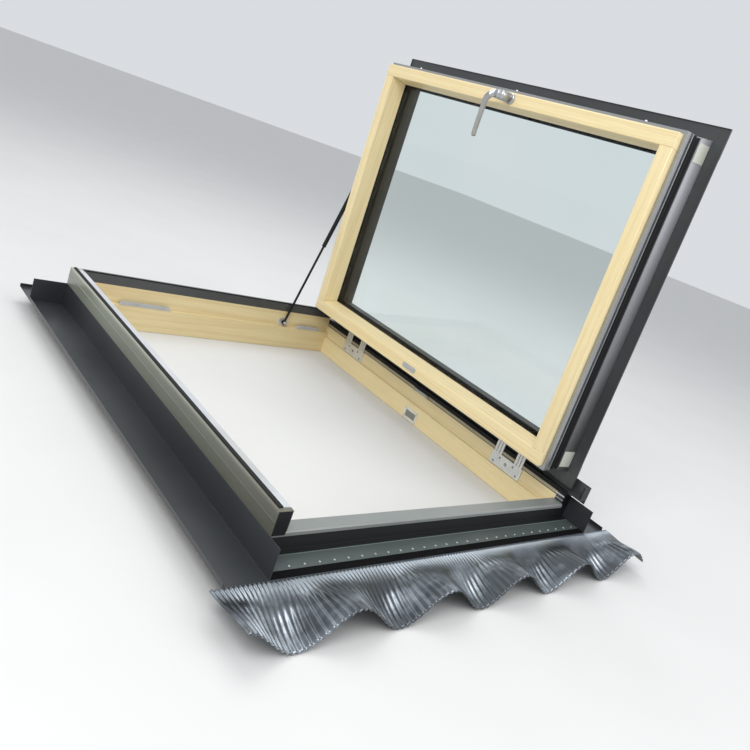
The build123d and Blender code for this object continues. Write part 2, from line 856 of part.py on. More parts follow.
strut_plate = 1.2
strut_plate_half = 20.0
strut_plate_half_height = 12.0
strut_washer = 2.5
strut_washer_rim = 1.5
head_recess = half_length - head_face_inset
stud_end = strut_plane - strut_eye_width / 2 - strut_washer
eye_side = strut_plane - strut_eye_width / 2 - running_clearance
wall_plate = head_recess - strut_plate
with BuildPart() as strut_frame_bracket:
    box_between((strut_foot_x - strut_plate_half, wall_plate, strut_foot_z - strut_plate_half_height),
                (strut_foot_x + strut_plate_half, head_recess, strut_foot_z + strut_plate_half_height))
    rod_between((strut_foot_x, stud_end, strut_foot_z), (strut_foot_x, wall_plate, strut_foot_z),
                strut_stud_radius)
    rod_between((strut_foot_x, stud_end, strut_foot_z), (strut_foot_x, eye_side, strut_foot_z),
                strut_stud_radius + strut_washer_rim)
finish(strut_frame_bracket, "strut_frame_bracket")

# Angle brackets that fix the frame to the roof, and their screws
with BuildPart() as mounting_brackets:
    for x in (-1, 1):
        middle = x * bracket_spacing_x / 2
        for y in (-1, 1):
            near, far = y * half_length, y * (half_length + bracket_reach)
            box_between((middle - bracket_width / 2, min(near, far), 0),
                        (middle + bracket_width / 2, max(near, far), bracket_sheet))
            wall = y * (half_length + bracket_sheet)
            box_between((middle - bracket_width / 2, min(near, wall), 0),
                        (middle + bracket_width / 2, max(near, wall), bracket_height))
    with Locations((0, 0, bracket_sheet)):
        with GridLocations(bracket_spacing_x, frame_length + 2 * bracket_hole_in, 2, 2):
            Hole(bracket_hole_radius)
finish(mounting_brackets, "mounting_brackets")

with BuildPart() as bracket_screws:
    for facing in (-1, 1):
        face = facing * (half_length + bracket_sheet)
        screw_plane = Plane(origin=(0, face, bracket_screw_height), x_dir=(1, 0, 0), z_dir=(0, facing, 0))
        with BuildSketch(screw_plane) as heads:
            with GridLocations(bracket_spacing_x, 1, 2, 1):
                with GridLocations(2 * bracket_screw_offset, 1, 2, 1):
                    RegularPolygon(screw_radius, head_sides)
        extrude(heads.sketch, amount=2 * screw_head, taper=20)
finish(bracket_screws, "bracket_screws")

# Fittings on the sash
handle_x = -sash_half_width + handle_across
handle_y = -sash_half_length + handle_from_bottom
with BuildPart() as handle_rosette:
    rod_between((handle_x, handle_y, sash_back), (handle_x, handle_y, sash_back - rosette_height),
                rosette_radius)
    chamfer(handle_rosette.edges().filter_by(GeomType.CIRCLE).sort_by(Axis.Z)[0], rosette_chamfer)
finish_on_sash(handle_rosette, "handle_rosette")

with BuildPart() as handle:
    hub_foot = sash_back - rosette_height - running_clearance
    rod_between((handle_x, handle_y, hub_foot), (handle_x, handle_y, hub_foot - handle_hub_height),
                handle_hub_radius)
    with BuildLine() as lever_line:
        FilletPolyline(
            (handle_x, handle_y, hub_foot - grip_thickness / 2),
            (handle_x, handle_y + handle_neck / 3, sash_back - handle_stand_off * 0.7),
            (handle_x, handle_y + handle_neck, sash_back - handle_stand_off),
            (handle_x + handle_grip, handle_y + handle_neck, sash_back - handle_stand_off),
            radius=grip_bend,
        )
    lever_start = Plane(origin=lever_line.line @ 0, x_dir=(1, 0, 0), z_dir=lever_line.line % 0)
    with BuildSketch(lever_start) as grip_section:
        Rectangle(grip_width, grip_thickness)
        chamfer(grip_section.vertices(), grip_chamfer)
    sweep(grip_section.sketch, path=lever_line.line)
finish_on_sash(handle, "handle")

plate_length = 60.0
plate_width = 16.0
plate_corner = 6.0
plate_thickness = 2.0
plate_inset = 18.0
with BuildPart() as catch_plate:
    plate_centre = (sash_half_width - plate_inset, 0, sash_back)
    with BuildSketch(Plane(origin=plate_centre, x_dir=(0, 1, 0), z_dir=(0, 0, -1))):
        RectangleRounded(plate_length, plate_width, plate_corner)
    extrude(amount=plate_thickness)
finish_on_sash(catch_plate, "catch_plate")

clip_from_corner = 89.0
clip_length = 22.0
clip_thickness = 3.0
clip_width = 13.0
clip_edge = 2.5
with BuildPart() as edge_clip:
    clip_top = flare_rise - clip_edge
    flare_plate("left", clip_top - clip_width, clip_top, clip_thickness, sash_half_length - clip_from_corner,
                clip_length / 2)
finish_on_sash(edge_clip, "edge_clip")

eye_x = pin_x - strut_eye_from_hinge - pin_inset
eye_z = sash_back + strut_eye_depth
channel_face = sash_half_length + channel_depth
plate_face = channel_face + strut_plate
with BuildPart() as strut_sash_bracket:
    box_between((eye_x - strut_plate_half, channel_face, sash_back + channel_bottom),
                (eye_x + strut_plate_half, plate_face, sash_back + channel_top))
    rod_between((eye_x, plate_face, eye_z), (eye_x, eye_side, eye_z), strut_stud_radius)
finish_on_sash(strut_sash_bracket, "strut_sash_bracket")

# Lock bar with round pins, sliding in the channel of the free stile
bar_back = -sash_half_width - channel_wall - lock_bar_gap
bar_face = bar_back - lock_bar_thickness
bar_top = sash_back + channel_top - channel_wall - lock_bar_gap
pin_level = sash_back + lock_height
pin_end = -sash_half_width - lock_pin_reach
with BuildPart() as lock_bar:
    box_between((bar_face, min(lock_places) - lock_bar_past_pin, bar_top - lock_bar_width),
                (bar_back, max(lock_places) + lock_bar_past_pin, bar_top))
    for place in lock_places:
        rod_between((bar_face, place, pin_level), (pin_end, place, pin_level), lock_pin_radius)
finish_on_sash(lock_bar, "lock_bar")

# Gas strut, drawn along +X from its eye on the frame, then turned to where the open sash holds it
foot = Vector(strut_foot_x, strut_plane, strut_foot_z)
opened = open_place * Location((eye_x, strut_plane, eye_z))
reach = opened.position - foot
strut_angle = Vector(1, 0, 0).get_angle(reach)
strut_place = Location(foot) * Location((0, 0, 0), (0, -strut_angle, 0))


def strut_eye(x):
    """A round eye across the strut's line."""
    with BuildSketch(Plane(origin=(x, -strut_eye_width / 2, 0), x_dir=(1, 0, 0), z_dir=(0, -1, 0))) as eye:
        Circle(strut_eye_radius)
    extrude(eye.sketch, amount=-strut_eye_width)


tube_bore = strut_tube_radius - strut_tube_wall
piston_length = 6.0
tube_end = 2.0
with BuildPart() as strut_rod:
    rod_between((0, 0, 0), (strut_rod_length, 0, 0), strut_rod_radius)
    strut_eye(0)
    rod_between((0, -strut_eye_width, 0), (0, strut_eye_width, 0), strut_stud_radius + running_clearance,
                mode=Mode.SUBTRACT)
    rod_between((strut_rod_length - piston_length, 0, 0), (strut_rod_length, 0, 0),
                tube_bore - running_clearance)
strut_rod.part = strut_place * strut_rod.part
finish(strut_rod, "strut_rod")

with BuildPart() as strut_tube:
    far = reach.length
    tube_foot = far - strut_neck
    mouth = tube_foot - strut_tube_length
    rod_between((mouth, 0, 0), (tube_foot, 0, 0), strut_tube_radius)
    rod_between((tube_foot, 0, 0), (far, 0, 0), strut_rod_radius)
    strut_eye(far)
    rod_between((mouth, 0, 0), (tube_foot - tube_end, 0, 0), tube_bore, mode=Mode.SUBTRACT)
strut_tube.part = strut_place * strut_tube.part
finish(strut_tube, "strut_tube")

print("strut length open", round(reach.length, 2), "angle", round(strut_angle, 2))
print("strut length shut", round((Vector(eye_x, strut_plane, eye_z) - foot).length, 2))
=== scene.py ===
import json
from math import cos, pi, radians

import bmesh
import bpy
from bpy.props import FloatProperty, FloatVectorProperty, IntProperty, PointerProperty
from bpy.types import Operator, Panel, PropertyGroup
from mathutils import Matrix, Vector

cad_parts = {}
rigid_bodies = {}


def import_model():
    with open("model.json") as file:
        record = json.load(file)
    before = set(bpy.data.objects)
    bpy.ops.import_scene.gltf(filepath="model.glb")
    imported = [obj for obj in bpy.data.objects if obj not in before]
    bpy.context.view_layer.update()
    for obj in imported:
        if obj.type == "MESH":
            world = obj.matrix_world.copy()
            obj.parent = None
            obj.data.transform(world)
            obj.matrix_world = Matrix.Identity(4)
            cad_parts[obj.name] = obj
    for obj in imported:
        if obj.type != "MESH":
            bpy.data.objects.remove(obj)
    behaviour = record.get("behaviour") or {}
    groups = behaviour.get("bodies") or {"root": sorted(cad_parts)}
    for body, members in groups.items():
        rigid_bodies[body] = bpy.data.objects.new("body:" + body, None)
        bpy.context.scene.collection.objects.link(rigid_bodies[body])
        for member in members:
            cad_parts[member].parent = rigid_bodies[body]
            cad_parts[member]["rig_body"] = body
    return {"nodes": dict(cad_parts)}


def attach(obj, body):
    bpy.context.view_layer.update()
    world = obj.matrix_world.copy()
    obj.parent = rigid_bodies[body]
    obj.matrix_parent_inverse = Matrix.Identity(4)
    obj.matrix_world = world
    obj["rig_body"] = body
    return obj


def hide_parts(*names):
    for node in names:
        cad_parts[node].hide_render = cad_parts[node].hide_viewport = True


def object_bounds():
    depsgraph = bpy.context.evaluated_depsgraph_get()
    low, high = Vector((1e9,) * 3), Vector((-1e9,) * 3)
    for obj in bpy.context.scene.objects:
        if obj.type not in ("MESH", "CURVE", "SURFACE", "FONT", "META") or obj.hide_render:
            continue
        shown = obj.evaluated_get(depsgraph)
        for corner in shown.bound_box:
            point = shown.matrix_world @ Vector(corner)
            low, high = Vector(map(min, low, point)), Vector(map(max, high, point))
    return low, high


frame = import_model()
cad_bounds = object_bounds()

bl_info = {
    "name": "Roof skylight finishes",
    "version": (1, 0, 0),
    "blender": (4, 5, 0),
    "location": "View3D > Sidebar > Skylight",
    "description": "Finishes and small fittings of a side-hung roof skylight",
    "category": "Object",
}


def colour_property(name, description, colour):
    """A colour that a user may change."""
    return FloatVectorProperty(name=name, description=description, subtype="COLOR", size=3, min=0.0, max=1.0,
                               default=colour)


class SkylightColours(PropertyGroup):
    """The colours of the skylight's finishes."""

    pine_light: colour_property("Pine, light", "Early wood between the growth rings", (0.87, 0.735, 0.43))
    pine_dark: colour_property("Pine, dark", "Late wood along the growth rings", (0.76, 0.57, 0.29))
    cover: colour_property("Cover", "Coated sheet of the covers and the cladding", (0.045, 0.049, 0.050))
    flashing: colour_property("Flashing", "Coated sheet of the flashing", (0.028, 0.031, 0.034))
    apron: colour_property("Apron", "Pleated sheet of the apron", (0.075, 0.086, 0.096))
    # A painted highlight colour for the apron's bright places
    apron_highlight: colour_property("Apron, bright", "Bright places on the apron", (0.30, 0.335, 0.37))
    rivet_strip: colour_property("Rivet strip", "Flat strip that carries the rivets", (0.072, 0.088, 0.084))
    extrusion: colour_property("Extrusion", "Light grey channels", (0.40, 0.41, 0.42))
    # The edge profile is darker near the hinges and paler far from them
    profile_low: colour_property("Edge profile, low end", "Near the hinges", (0.085, 0.088, 0.085))
    profile_high: colour_property("Edge profile, high end", "Far from the hinges", (0.35, 0.35, 0.375))
    corner_plate: colour_property("Corner plate", "Pale plates on the edge profile", (0.55, 0.56, 0.49))
    zinc: colour_property("Zinc", "Plated steel of hinges and brackets", (0.74, 0.75, 0.74))
    screw: colour_property("Screw", "Screw heads", (0.24, 0.24, 0.25))
    rivet: colour_property("Rivet", "Rivet heads", (0.45, 0.47, 0.48))
    lever: colour_property("Lever", "Satin silver of the handle", (0.46, 0.465, 0.47))
    rubber: colour_property("Rubber", "Gaskets, seals and black trim", (0.006, 0.006, 0.007))
    white_plastic: colour_property("White plastic", "Insert in the jamb", (0.74, 0.73, 0.68))
    grey_plastic: colour_property("Grey plastic", "Clips, catches and brackets", (0.42, 0.43, 0.43))
    # The side cover's two ends carry a painted reflection: dark near the sill, pale near the head
    side_reflection_low: colour_property("Side cover, low end", "Side cover near the sill", (0.130, 0.126, 0.098))
    side_reflection_high: colour_property("Side cover, high end", "Side cover near the head", (0.36, 0.38, 0.31))
    sill: colour_property("Sill cover", "Coated cover on the sill", (0.22, 0.235, 0.225))
    lip: colour_property("Lip", "Bare aluminium lip beside the gasket", (0.66, 0.68, 0.70))
    # The strip is metal; its warm tint is a painted reflection of the pine
    jamb_strip: colour_property("Jamb strip", "Strip under the hinge jamb's gasket", (0.38, 0.345, 0.24))
    # The pocket's grey is partly the plastic's own colour and partly painted shade in the shallow recess
    pocket: colour_property("Pocket", "Floor of the pocket in the jamb's insert", (0.24, 0.24, 0.21))
    floor: colour_property("Floor", "Pale floor of the stage", (0.66, 0.66, 0.65))


def length_property(name, description, length):
    """A length that a user may change, in metres."""
    return FloatProperty(name=name, description=description, default=length, min=0.0, unit="LENGTH",
                         precision=4)


class SkylightSizes(PropertyGroup):
    """The sizes of the skylight's finishing work."""

    timber_arris: length_property("Timber arris", "Rounding of the timbers' edges", 0.0016)
    sheet_arris: length_property("Sheet arris", "Rounding of folded sheet and extrusions", 0.0004)
    fitting_arris: length_property("Fitting arris", "Rounding of moulded fittings", 0.0008)
    lever_width: length_property("Lever width", "Width of the handle at its foot", 0.0270)
    lever_thickness: length_property("Lever thickness", "Thickness of the handle at its foot", 0.0165)
    gasket_height: length_property("Gasket height", "Rise of the frame's gasket over the cover", 0.0038)
    top_pitch: length_property("Upper pleat pitch", "Distance between pleats at the hem", 0.0086)
    low_pitch: length_property("Lower pleat pitch", "Distance between pleats at the free edge", 0.0122)
    top_pleat: length_property("Upper pleat height", "Half the height of a pleat at the hem", 0.0016)
    low_pleat: length_property("Lower pleat height", "Half the height of a pleat at the free edge", 0.0020)
    screw_radius: length_property("Screw radius", "Radius of a small screw head", 0.0033)
    rivet_radius: length_property("Rivet radius", "Radius of a rivet head", 0.0026)
    apron_steps: IntProperty(name="Apron steps", description="Faces across one pleat", default=6,
                             min=4, max=12)


WHITE = (1.0, 1.0, 1.0)
UNSCALED = (1.0, 1.0, 1.0)

# The grit of coated sheet: its scale, and the depth of its relief in metres
SHEET_GRIT = 900.0
SHEET_RELIEF = 0.00005


def new_material(name):
    """A node material, its tree and its surface shader."""
    material = bpy.data.materials.new(name)
    material.use_nodes = True
    tree = material.node_tree
    return material, tree, tree.nodes["Principled BSDF"]


def set_inputs(node, **inputs):
    """Set values on a node's named sockets."""
    for key, value in inputs.items():
        node.inputs[key.replace("_", " ")].default_value = value


def add_node(tree, kind, **inputs):
    """A node with values set on its named sockets."""
    node = tree.nodes.new(kind)
    set_inputs(node, **inputs)
    return node


def object_coordinates(tree, scale=UNSCALED):
    """Object coordinates stretched by a scale."""
    place = tree.nodes.new("ShaderNodeTexCoord")
    mapping = add_node(tree, "ShaderNodeMapping", Scale=scale)
    tree.links.new(place.outputs["Object"], mapping.inputs["Vector"])
    return mapping.outputs["Vector"]


def stretched(run, across, lengthwise):
    """A scale that draws a pattern out along one axis: 0 for X, 1 for Y, 2 for Z."""
    scale = [across, across, across]
    scale[run] = lengthwise
    return scale


def noise(tree, vector, scale, detail, roughness=0.5):
    """A noise pattern on a vector."""
    node = add_node(tree, "ShaderNodeTexNoise", Scale=scale, Detail=detail, Roughness=roughness)
    tree.links.new(vector, node.inputs["Vector"])
    return node.outputs["Fac"]


def ramp(tree, value, stops):
    """A colour ramp on a value, its stops as (place, colour)."""
    node = tree.nodes.new("ShaderNodeValToRGB")
    elements = node.color_ramp.elements
    elements[0].position, elements[0].color = stops[0][0], (*stops[0][1], 1.0)
    elements[1].position, elements[1].color = stops[-1][0], (*stops[-1][1], 1.0)
    for place, colour in stops[1:-1]:
        element = elements.new(place)
        element.color = (*colour, 1.0)
    tree.links.new(value, node.inputs["Fac"])
    return node.outputs["Color"]


def mix(tree, factor, first, second, kind="MIX"):
    """A mix of two colours by a factor, each a socket or a value."""
    node = tree.nodes.new("ShaderNodeMix")
    node.data_type = "RGBA"
    node.blend_type = kind
    for socket, value in ((node.inputs[0], factor), (node.inputs[6], first), (node.inputs[7], second)):
        if isinstance(value, bpy.types.NodeSocket):
            tree.links.new(value, socket)
        else:
            socket.default_value = (*value, 1.0) if isinstance(value, tuple) else value
    return node.outputs[2]


def scaled(tree, value, low, high):
    """A value from 0 to 1 spread over a range."""
    node = add_node(tree, "ShaderNodeMapRange", To_Min=low, To_Max=high)
    tree.links.new(value, node.inputs["Value"])
    return node.outputs["Result"]


def bump(tree, shader, height, distance, strength):
    """Relief from a height, in metres."""
    node = add_node(tree, "ShaderNodeBump", Strength=strength, Distance=distance)
    tree.links.new(height, node.inputs["Height"])
    tree.links.new(node.outputs["Normal"], shader.inputs["Normal"])


def shade(colour, factor):
    """A colour made lighter or darker."""
    return tuple(min(1.0, part * factor) for part in colour)


def mean(first, second):
    """The colour halfway between two."""
    return tuple((a + b) / 2 for a, b in zip(first, second))


def tones(tree, value, colour, low, high, start=0.3, end=0.7):
    """A ramp from one tone of a colour to another."""
    return ramp(tree, value, [(start, shade(colour, low)), (end, shade(colour, high))])


def fade(tree, value, start, colour, end):
    """A ramp from a colour to white."""
    return ramp(tree, value, [(start, colour), (end, WHITE)])


def hair_lines(tree, run):
    """Fine lines drawn out along one axis."""
    return noise(tree, object_coordinates(tree, stretched(run, 900.0, 4.0)), 1.0, 3.0)


def dress(tree, shader, colour, wear, low, high):
    """Link a colour, and a roughness that follows the wear from low to high."""
    tree.links.new(colour, shader.inputs["Base Color"])
    tree.links.new(scaled(tree, wear, low, high), shader.inputs["Roughness"])


def pine_material(name, colours, run, tone):
    """Lacquered pine; a tone below 1 paints shade. Grain along one axis: 0 for X, 1 for Y, 2 for Z."""
    material, tree, shader = new_material(name)
    light, dark = shade(colours.pine_light, tone), shade(colours.pine_dark, tone)
    rings = add_node(tree, "ShaderNodeTexWave", Scale=1.0, Distortion=7.0, Detail=3.0, Detail_Scale=0.7)
    rings.wave_type = "RINGS"
    rings.rings_direction = "XYZ"[run]
    tree.links.new(object_coordinates(tree, stretched(run, 16.0, 0.55)), rings.inputs["Vector"])
    fibre = noise(tree, object_coordinates(tree, stretched(run, 420.0, 9.0)), 1.0, 5.0, 0.6)
    broad = noise(tree, object_coordinates(tree, (2.2, 2.2, 2.2)), 1.0, 2.0)
    grain = ramp(tree, rings.outputs["Fac"],
                 [(0.0, light), (0.62, light), (0.94, mean(light, dark)), (1.0, light)])
    streaks = fade(tree, fibre, 0.30, (0.86, 0.82, 0.74), 0.62)
    toned = mix(tree, 0.55, grain, streaks, "MULTIPLY")
    warm = fade(tree, broad, 0.3, (0.95, 0.92, 0.86), 0.7)
    dress(tree, shader, mix(tree, 0.6, toned, warm, "MULTIPLY"), fibre, 0.34, 0.50)
    bump(tree, shader, fibre, 0.00025, 0.5)
    set_inputs(shader, Coat_Weight=0.18, Coat_Roughness=0.25)
    return material


def coated_material(name, colour, low, high, metallic=0.0, coat=0.0):
    """Coated sheet with a faint grit, cloudy tone and dust that dulls it in places."""
    material, tree, shader = new_material(name)
    place = object_coordinates(tree)
    cloud = noise(tree, place, 5.0, 5.0, 0.55)
    dress(tree, shader, tones(tree, cloud, colour, 0.86, 1.14), cloud, low, high)
    bump(tree, shader, noise(tree, place, SHEET_GRIT, 2.0), SHEET_RELIEF, 0.35)
    set_inputs(shader, Metallic=metallic, Coat_Weight=coat, Coat_Roughness=0.18)
    return material


def graded(tree, axis, start, end):
    """A value that goes from 0 to 1 between two places along an axis of the object, in metres."""
    parts = tree.nodes.new("ShaderNodeSeparateXYZ")
    tree.links.new(object_coordinates(tree), parts.inputs["Vector"])
    node = add_node(tree, "ShaderNodeMapRange", From_Min=start, From_Max=end)
    tree.links.new(parts.outputs[axis], node.inputs["Value"])
    return node.outputs["Result"]


def side_cover_material(colours):
    """Coated sheet, paled towards the head by a painted reflection and darkened below its top by painted
    shade.
    """
    material, tree, shader = new_material("Side cover sheet")
    # Painted reflection: from the dark colour near the sill to the pale one near the head
    tone = mix(tree, graded(tree, "Y", -0.62, 0.35), colours.side_reflection_low[:], colours.side_reflection_high[:])
    # Painted shade: the cover's side, below its top, at 0.6 of its colour
    flank_shade = mix(tree, graded(tree, "Z", 0.148, 0.154), (0.60, 0.62, 0.60), WHITE)
    place = object_coordinates(tree)
    cloud = noise(tree, place, 7.0, 5.0, 0.55)
    patches = fade(tree, cloud, 0.3, (0.84, 0.85, 0.82), 0.7)
    toned = mix(tree, 1.0, tone, flank_shade, "MULTIPLY")
    dress(tree, shader, mix(tree, 0.8, toned, patches, "MULTIPLY"), cloud, 0.26, 0.40)
    bump(tree, shader, noise(tree, place, SHEET_GRIT, 2.0), SHEET_RELIEF, 0.3)
    set_inputs(shader, Coat_Weight=0.25, Coat_Roughness=0.2)
    return material


def sill_flashing_material(colours):
    """Coated sheet: upstand near black by painted shade, rivet strip paler, a painted highlight between
    them.
    """
    material, tree, shader = new_material("Sill flashing sheet")
    # Painted shade: the upstand at 0.35 of the flashing's colour
    black, strip = shade(colours.flashing, 0.35), colours.rivet_strip[:]
    # Painted highlight: a narrow band at three times the strip's colour, between the upstand and the strip
    tone = ramp(tree, graded(tree, "Y", -0.600, -0.612),
                [(0.0, black), (0.45, black), (0.56, shade(strip, 3.0)), (0.70, strip), (1.0, strip)])
    place = object_coordinates(tree)
    cloud = noise(tree, place, 12.0, 4.0, 0.55)
    patches = fade(tree, cloud, 0.3, (0.82, 0.84, 0.84), 0.7)
    dress(tree, shader, mix(tree, 0.8, tone, patches, "MULTIPLY"), cloud, 0.28, 0.42)
    bump(tree, shader, noise(tree, place, SHEET_GRIT, 2.0), SHEET_RELIEF, 0.3)
    return material


def apron_material(colours):
    """Soft bright sheet, smoother where dressed down by hand, with painted highlights there and at the hem.
    """
    material, tree, shader = new_material("Apron sheet")
    # Painted highlight: the apron turns to its highlight colour towards the hem
    hem = graded(tree, "Y", -0.705, -0.668)
    # This noise makes the sheet smoother in patches and paints highlights on them
    rubbed = noise(tree, object_coordinates(tree, (9.0, 16.0, 9.0)), 1.0, 4.0, 0.55)
    patches = fade(tree, rubbed, 0.45, (0.0, 0.0, 0.0), 0.68)
    tone = mix(tree, patches, colours.apron[:], colours.apron_highlight[:])
    dress(tree, shader, mix(tree, hem, tone, colours.apron_highlight[:]), rubbed, 0.40, 0.20)
    fine = noise(tree, object_coordinates(tree, (60.0, 60.0, 60.0)), 1.0, 5.0, 0.6)
    bump(tree, shader, fine, 0.0006, 0.35)
    set_inputs(shader, Metallic=0.82, Coat_Weight=0.3, Coat_Roughness=0.12)
    return material


def edge_profile_material(colours):
    """Coated extrusion, darker towards the hinges, with faint hair lines."""
    material, tree, shader = new_material("Edge profile")
    # Darker near the hinges, paler far from them
    tone = mix(tree, graded(tree, "Z", 0.20, 0.90), colours.profile_low[:], colours.profile_high[:])
    hair = hair_lines(tree, 2)
    lines = fade(tree, hair, 0.3, (0.90, 0.90, 0.90), 0.7)
    dress(tree, shader, mix(tree, 0.7, tone, lines, "MULTIPLY"), hair, 0.38, 0.50)
    bump(tree, shader, hair, 0.00003, 0.3)
    set_inputs(shader, Metallic=0.15)
    return material


def drawn_material(name, colour, run, roughness=0.30):
    """Extruded or drawn metal with hair lines along one axis."""
    material, tree, shader = new_material(name)
    hair = hair_lines(tree, run)
    cloud = noise(tree, object_coordinates(tree, (6.0, 6.0, 6.0)), 1.0, 3.0)
    tone = tones(tree, hair, colour, 0.90, 1.08)
    patches = fade(tree, cloud, 0.3, (0.8, 0.8, 0.8), 0.7)
    dress(tree, shader, mix(tree, 0.35, tone, patches, "MULTIPLY"), hair, roughness - 0.06, roughness + 0.10)
    bump(tree, shader, hair, 0.00003, 0.4)
    set_inputs(shader, Metallic=0.75)
    return material


def zinc_material(name, colour):
    """Plated steel with a faint spangle."""
    material, tree, shader = new_material(name)
    place = object_coordinates(tree)
    flakes = add_node(tree, "ShaderNodeTexVoronoi", Scale=260.0)
    tree.links.new(place, flakes.inputs["Vector"])
    stain = noise(tree, place, 30.0, 4.0)
    tone = tones(tree, flakes.outputs["Distance"], colour, 0.88, 1.08, 0.0, 0.8)
    stains = fade(tree, stain, 0.3, (0.7, 0.7, 0.68), 0.65)
    dress(tree, shader, mix(tree, 0.4, tone, stains, "MULTIPLY"), stain, 0.22, 0.42)
    bump(tree, shader, stain, 0.00005, 0.3)
    set_inputs(shader, Metallic=0.6)
    return material


def moulded_material(name, colour, low, high, specular=0.5):
    """Moulded plastic or rubber with a fine spark-eroded texture and rubbed patches."""
    material, tree, shader = new_material(name)
    place = object_coordinates(tree)
    fine = noise(tree, place, 1400.0, 2.0)
    cloud = noise(tree, place, 22.0, 4.0)
    dress(tree, shader, tones(tree, cloud, colour, 0.88, 1.1), cloud, low, high)
    bump(tree, shader, fine, 0.00006, 0.5)
    set_inputs(shader, Specular_IOR_Level=specular)
    return material


def glass_material():
    """Clear float glass with a faint waviness."""
    material, tree, shader = new_material("Float glass")
    wave = noise(tree, object_coordinates(tree, (3.0, 3.0, 3.0)), 1.0, 1.0)
    tint = ramp(tree, wave, [(0.3, (0.93, 0.975, 0.965)), (0.7, (0.95, 0.985, 0.98))])
    tree.links.new(tint, shader.inputs["Base Color"])
    bump(tree, shader, wave, 0.0002, 0.15)
    set_inputs(shader, Roughness=0.0, IOR=1.20, Transmission_Weight=1.0)
    return material


def paint(names, material):
    """Give CAD nodes a finish."""
    for name in names:
        node = frame["nodes"][name]
        node.data.materials.clear()
        node.data.materials.append(material)


# The hinge pins' line and the angle at which the sash stands open
PIN_LINE = Vector((0.446, 0.0, 0.150))
OPEN_ANGLE = radians(88.2)
OPENED = Matrix.Translation(PIN_LINE) @ Matrix.Rotation(OPEN_ANGLE, 4, "Y") @ Matrix.Translation(-PIN_LINE)

# Edges that turn by more than this are rounded, with so many faces across
SHARP_ANGLE = radians(30.0)
ARRIS_SEGMENTS = 2


def millimetres(*parts):
    """A point or a step given in millimetres."""
    return Vector(parts) / 1000.0


def points_of(parts):
    """The points among what an operator returns."""
    return [part for part in parts if isinstance(part, bmesh.types.BMVert)]


def bar(shape, outline, run):
    """A straight bar: an outline pushed along a run."""
    face = shape.faces.new([shape.verts.new(point) for point in outline])
    pushed = bmesh.ops.extrude_face_region(shape, geom=[face])["geom"]
    bmesh.ops.translate(shape, vec=run, verts=points_of(pushed))


def bar_along_x(shape, start, outline, length):
    """A bar that runs along X, its outline as (y, z), all in millimetres."""
    bar(shape, [millimetres(start, y, z) for y, z in outline], millimetres(length, 0, 0))


def bar_along_y(shape, start, outline, length):
    """A bar that runs along Y, its outline as (x, z), all in millimetres."""
    bar(shape, [millimetres(x, start, z) for x, z in outline], millimetres(0, length, 0))


def turned(profile, place, axis, steps, closed=False):
    """A lathe shape: a profile of (radius, height) in metres, spun about an axis through a place."""
    shape = bmesh.new()
    points = [shape.verts.new((radius, 0.0, height)) for radius, height in profile]
    pairs = list(zip(points, points[1:]))
    if closed:
        pairs.append((points[-1], points[0]))
    edges = [shape.edges.new(pair) for pair in pairs]
    bmesh.ops.spin(shape, geom=points + edges, cent=(0.0, 0.0, 0.0), axis=(0.0, 0.0, 1.0), angle=2 * pi,
                   steps=steps, use_merge=True)
    bmesh.ops.remove_doubles(shape, verts=shape.verts, dist=0.000001)
    turn = Vector((0.0, 0.0, 1.0)).rotation_difference(axis).to_matrix().to_4x4()
    bmesh.ops.transform(shape, matrix=Matrix.Translation(place) @ turn, verts=shape.verts)
    for face in shape.faces:
        face.smooth = True
    return shape


def take_in(shape, part, places=(Vector((0.0, 0.0, 0.0)),)):
    """Copy one shape into another at each place, then drop it."""
    bmesh.ops.recalc_face_normals(part, faces=part.faces)
    mesh = bpy.data.meshes.new("Part")
    part.to_mesh(mesh)
    part.free()
    here = Vector((0.0, 0.0, 0.0))
    for place in places:
        mesh.transform(Matrix.Translation(place - here))
        here = place
        shape.from_mesh(mesh)
    bpy.data.meshes.remove(mesh)


def soften_edges(shape, width):
    """Round the sharp edges of a shape."""
    edges = [edge for edge in shape.edges if edge.is_manifold and edge.calc_face_angle(0.0) > SHARP_ANGLE]
    bmesh.ops.bevel(shape, geom=edges, offset=width, offset_type="OFFSET", segments=ARRIS_SEGMENTS,
                    profile=0.5, affect="EDGES", clamp_overlap=True, material=-1)


def keep(shape, title, material, body, stands_for=()):
    """Make a finished shape a piece of the skylight."""
    bmesh.ops.recalc_face_normals(shape, faces=shape.faces)
    mesh = bpy.data.meshes.new(title)
    shape.to_mesh(mesh)
    shape.free()
    mesh.materials.append(material)
    piece = bpy.data.objects.new(title, mesh)
    bpy.context.scene.collection.objects.link(piece)
    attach(piece, body)
    if stands_for:
        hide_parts(*stands_for)


def finish_nodes(names, material, width):
    """Replace CAD nodes by copies with flat faces and rounded edges."""
    for name in names:
        node = frame["nodes"][name]
        shape = bmesh.new()
        shape.from_mesh(node.data)
        bmesh.ops.remove_doubles(shape, verts=shape.verts, dist=0.00001)
        bmesh.ops.dissolve_limit(shape, angle_limit=radians(0.5), verts=shape.verts, edges=shape.edges)
        soften_edges(shape, width)
        keep(shape, name + "_finished", material, node["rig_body"], (name,))


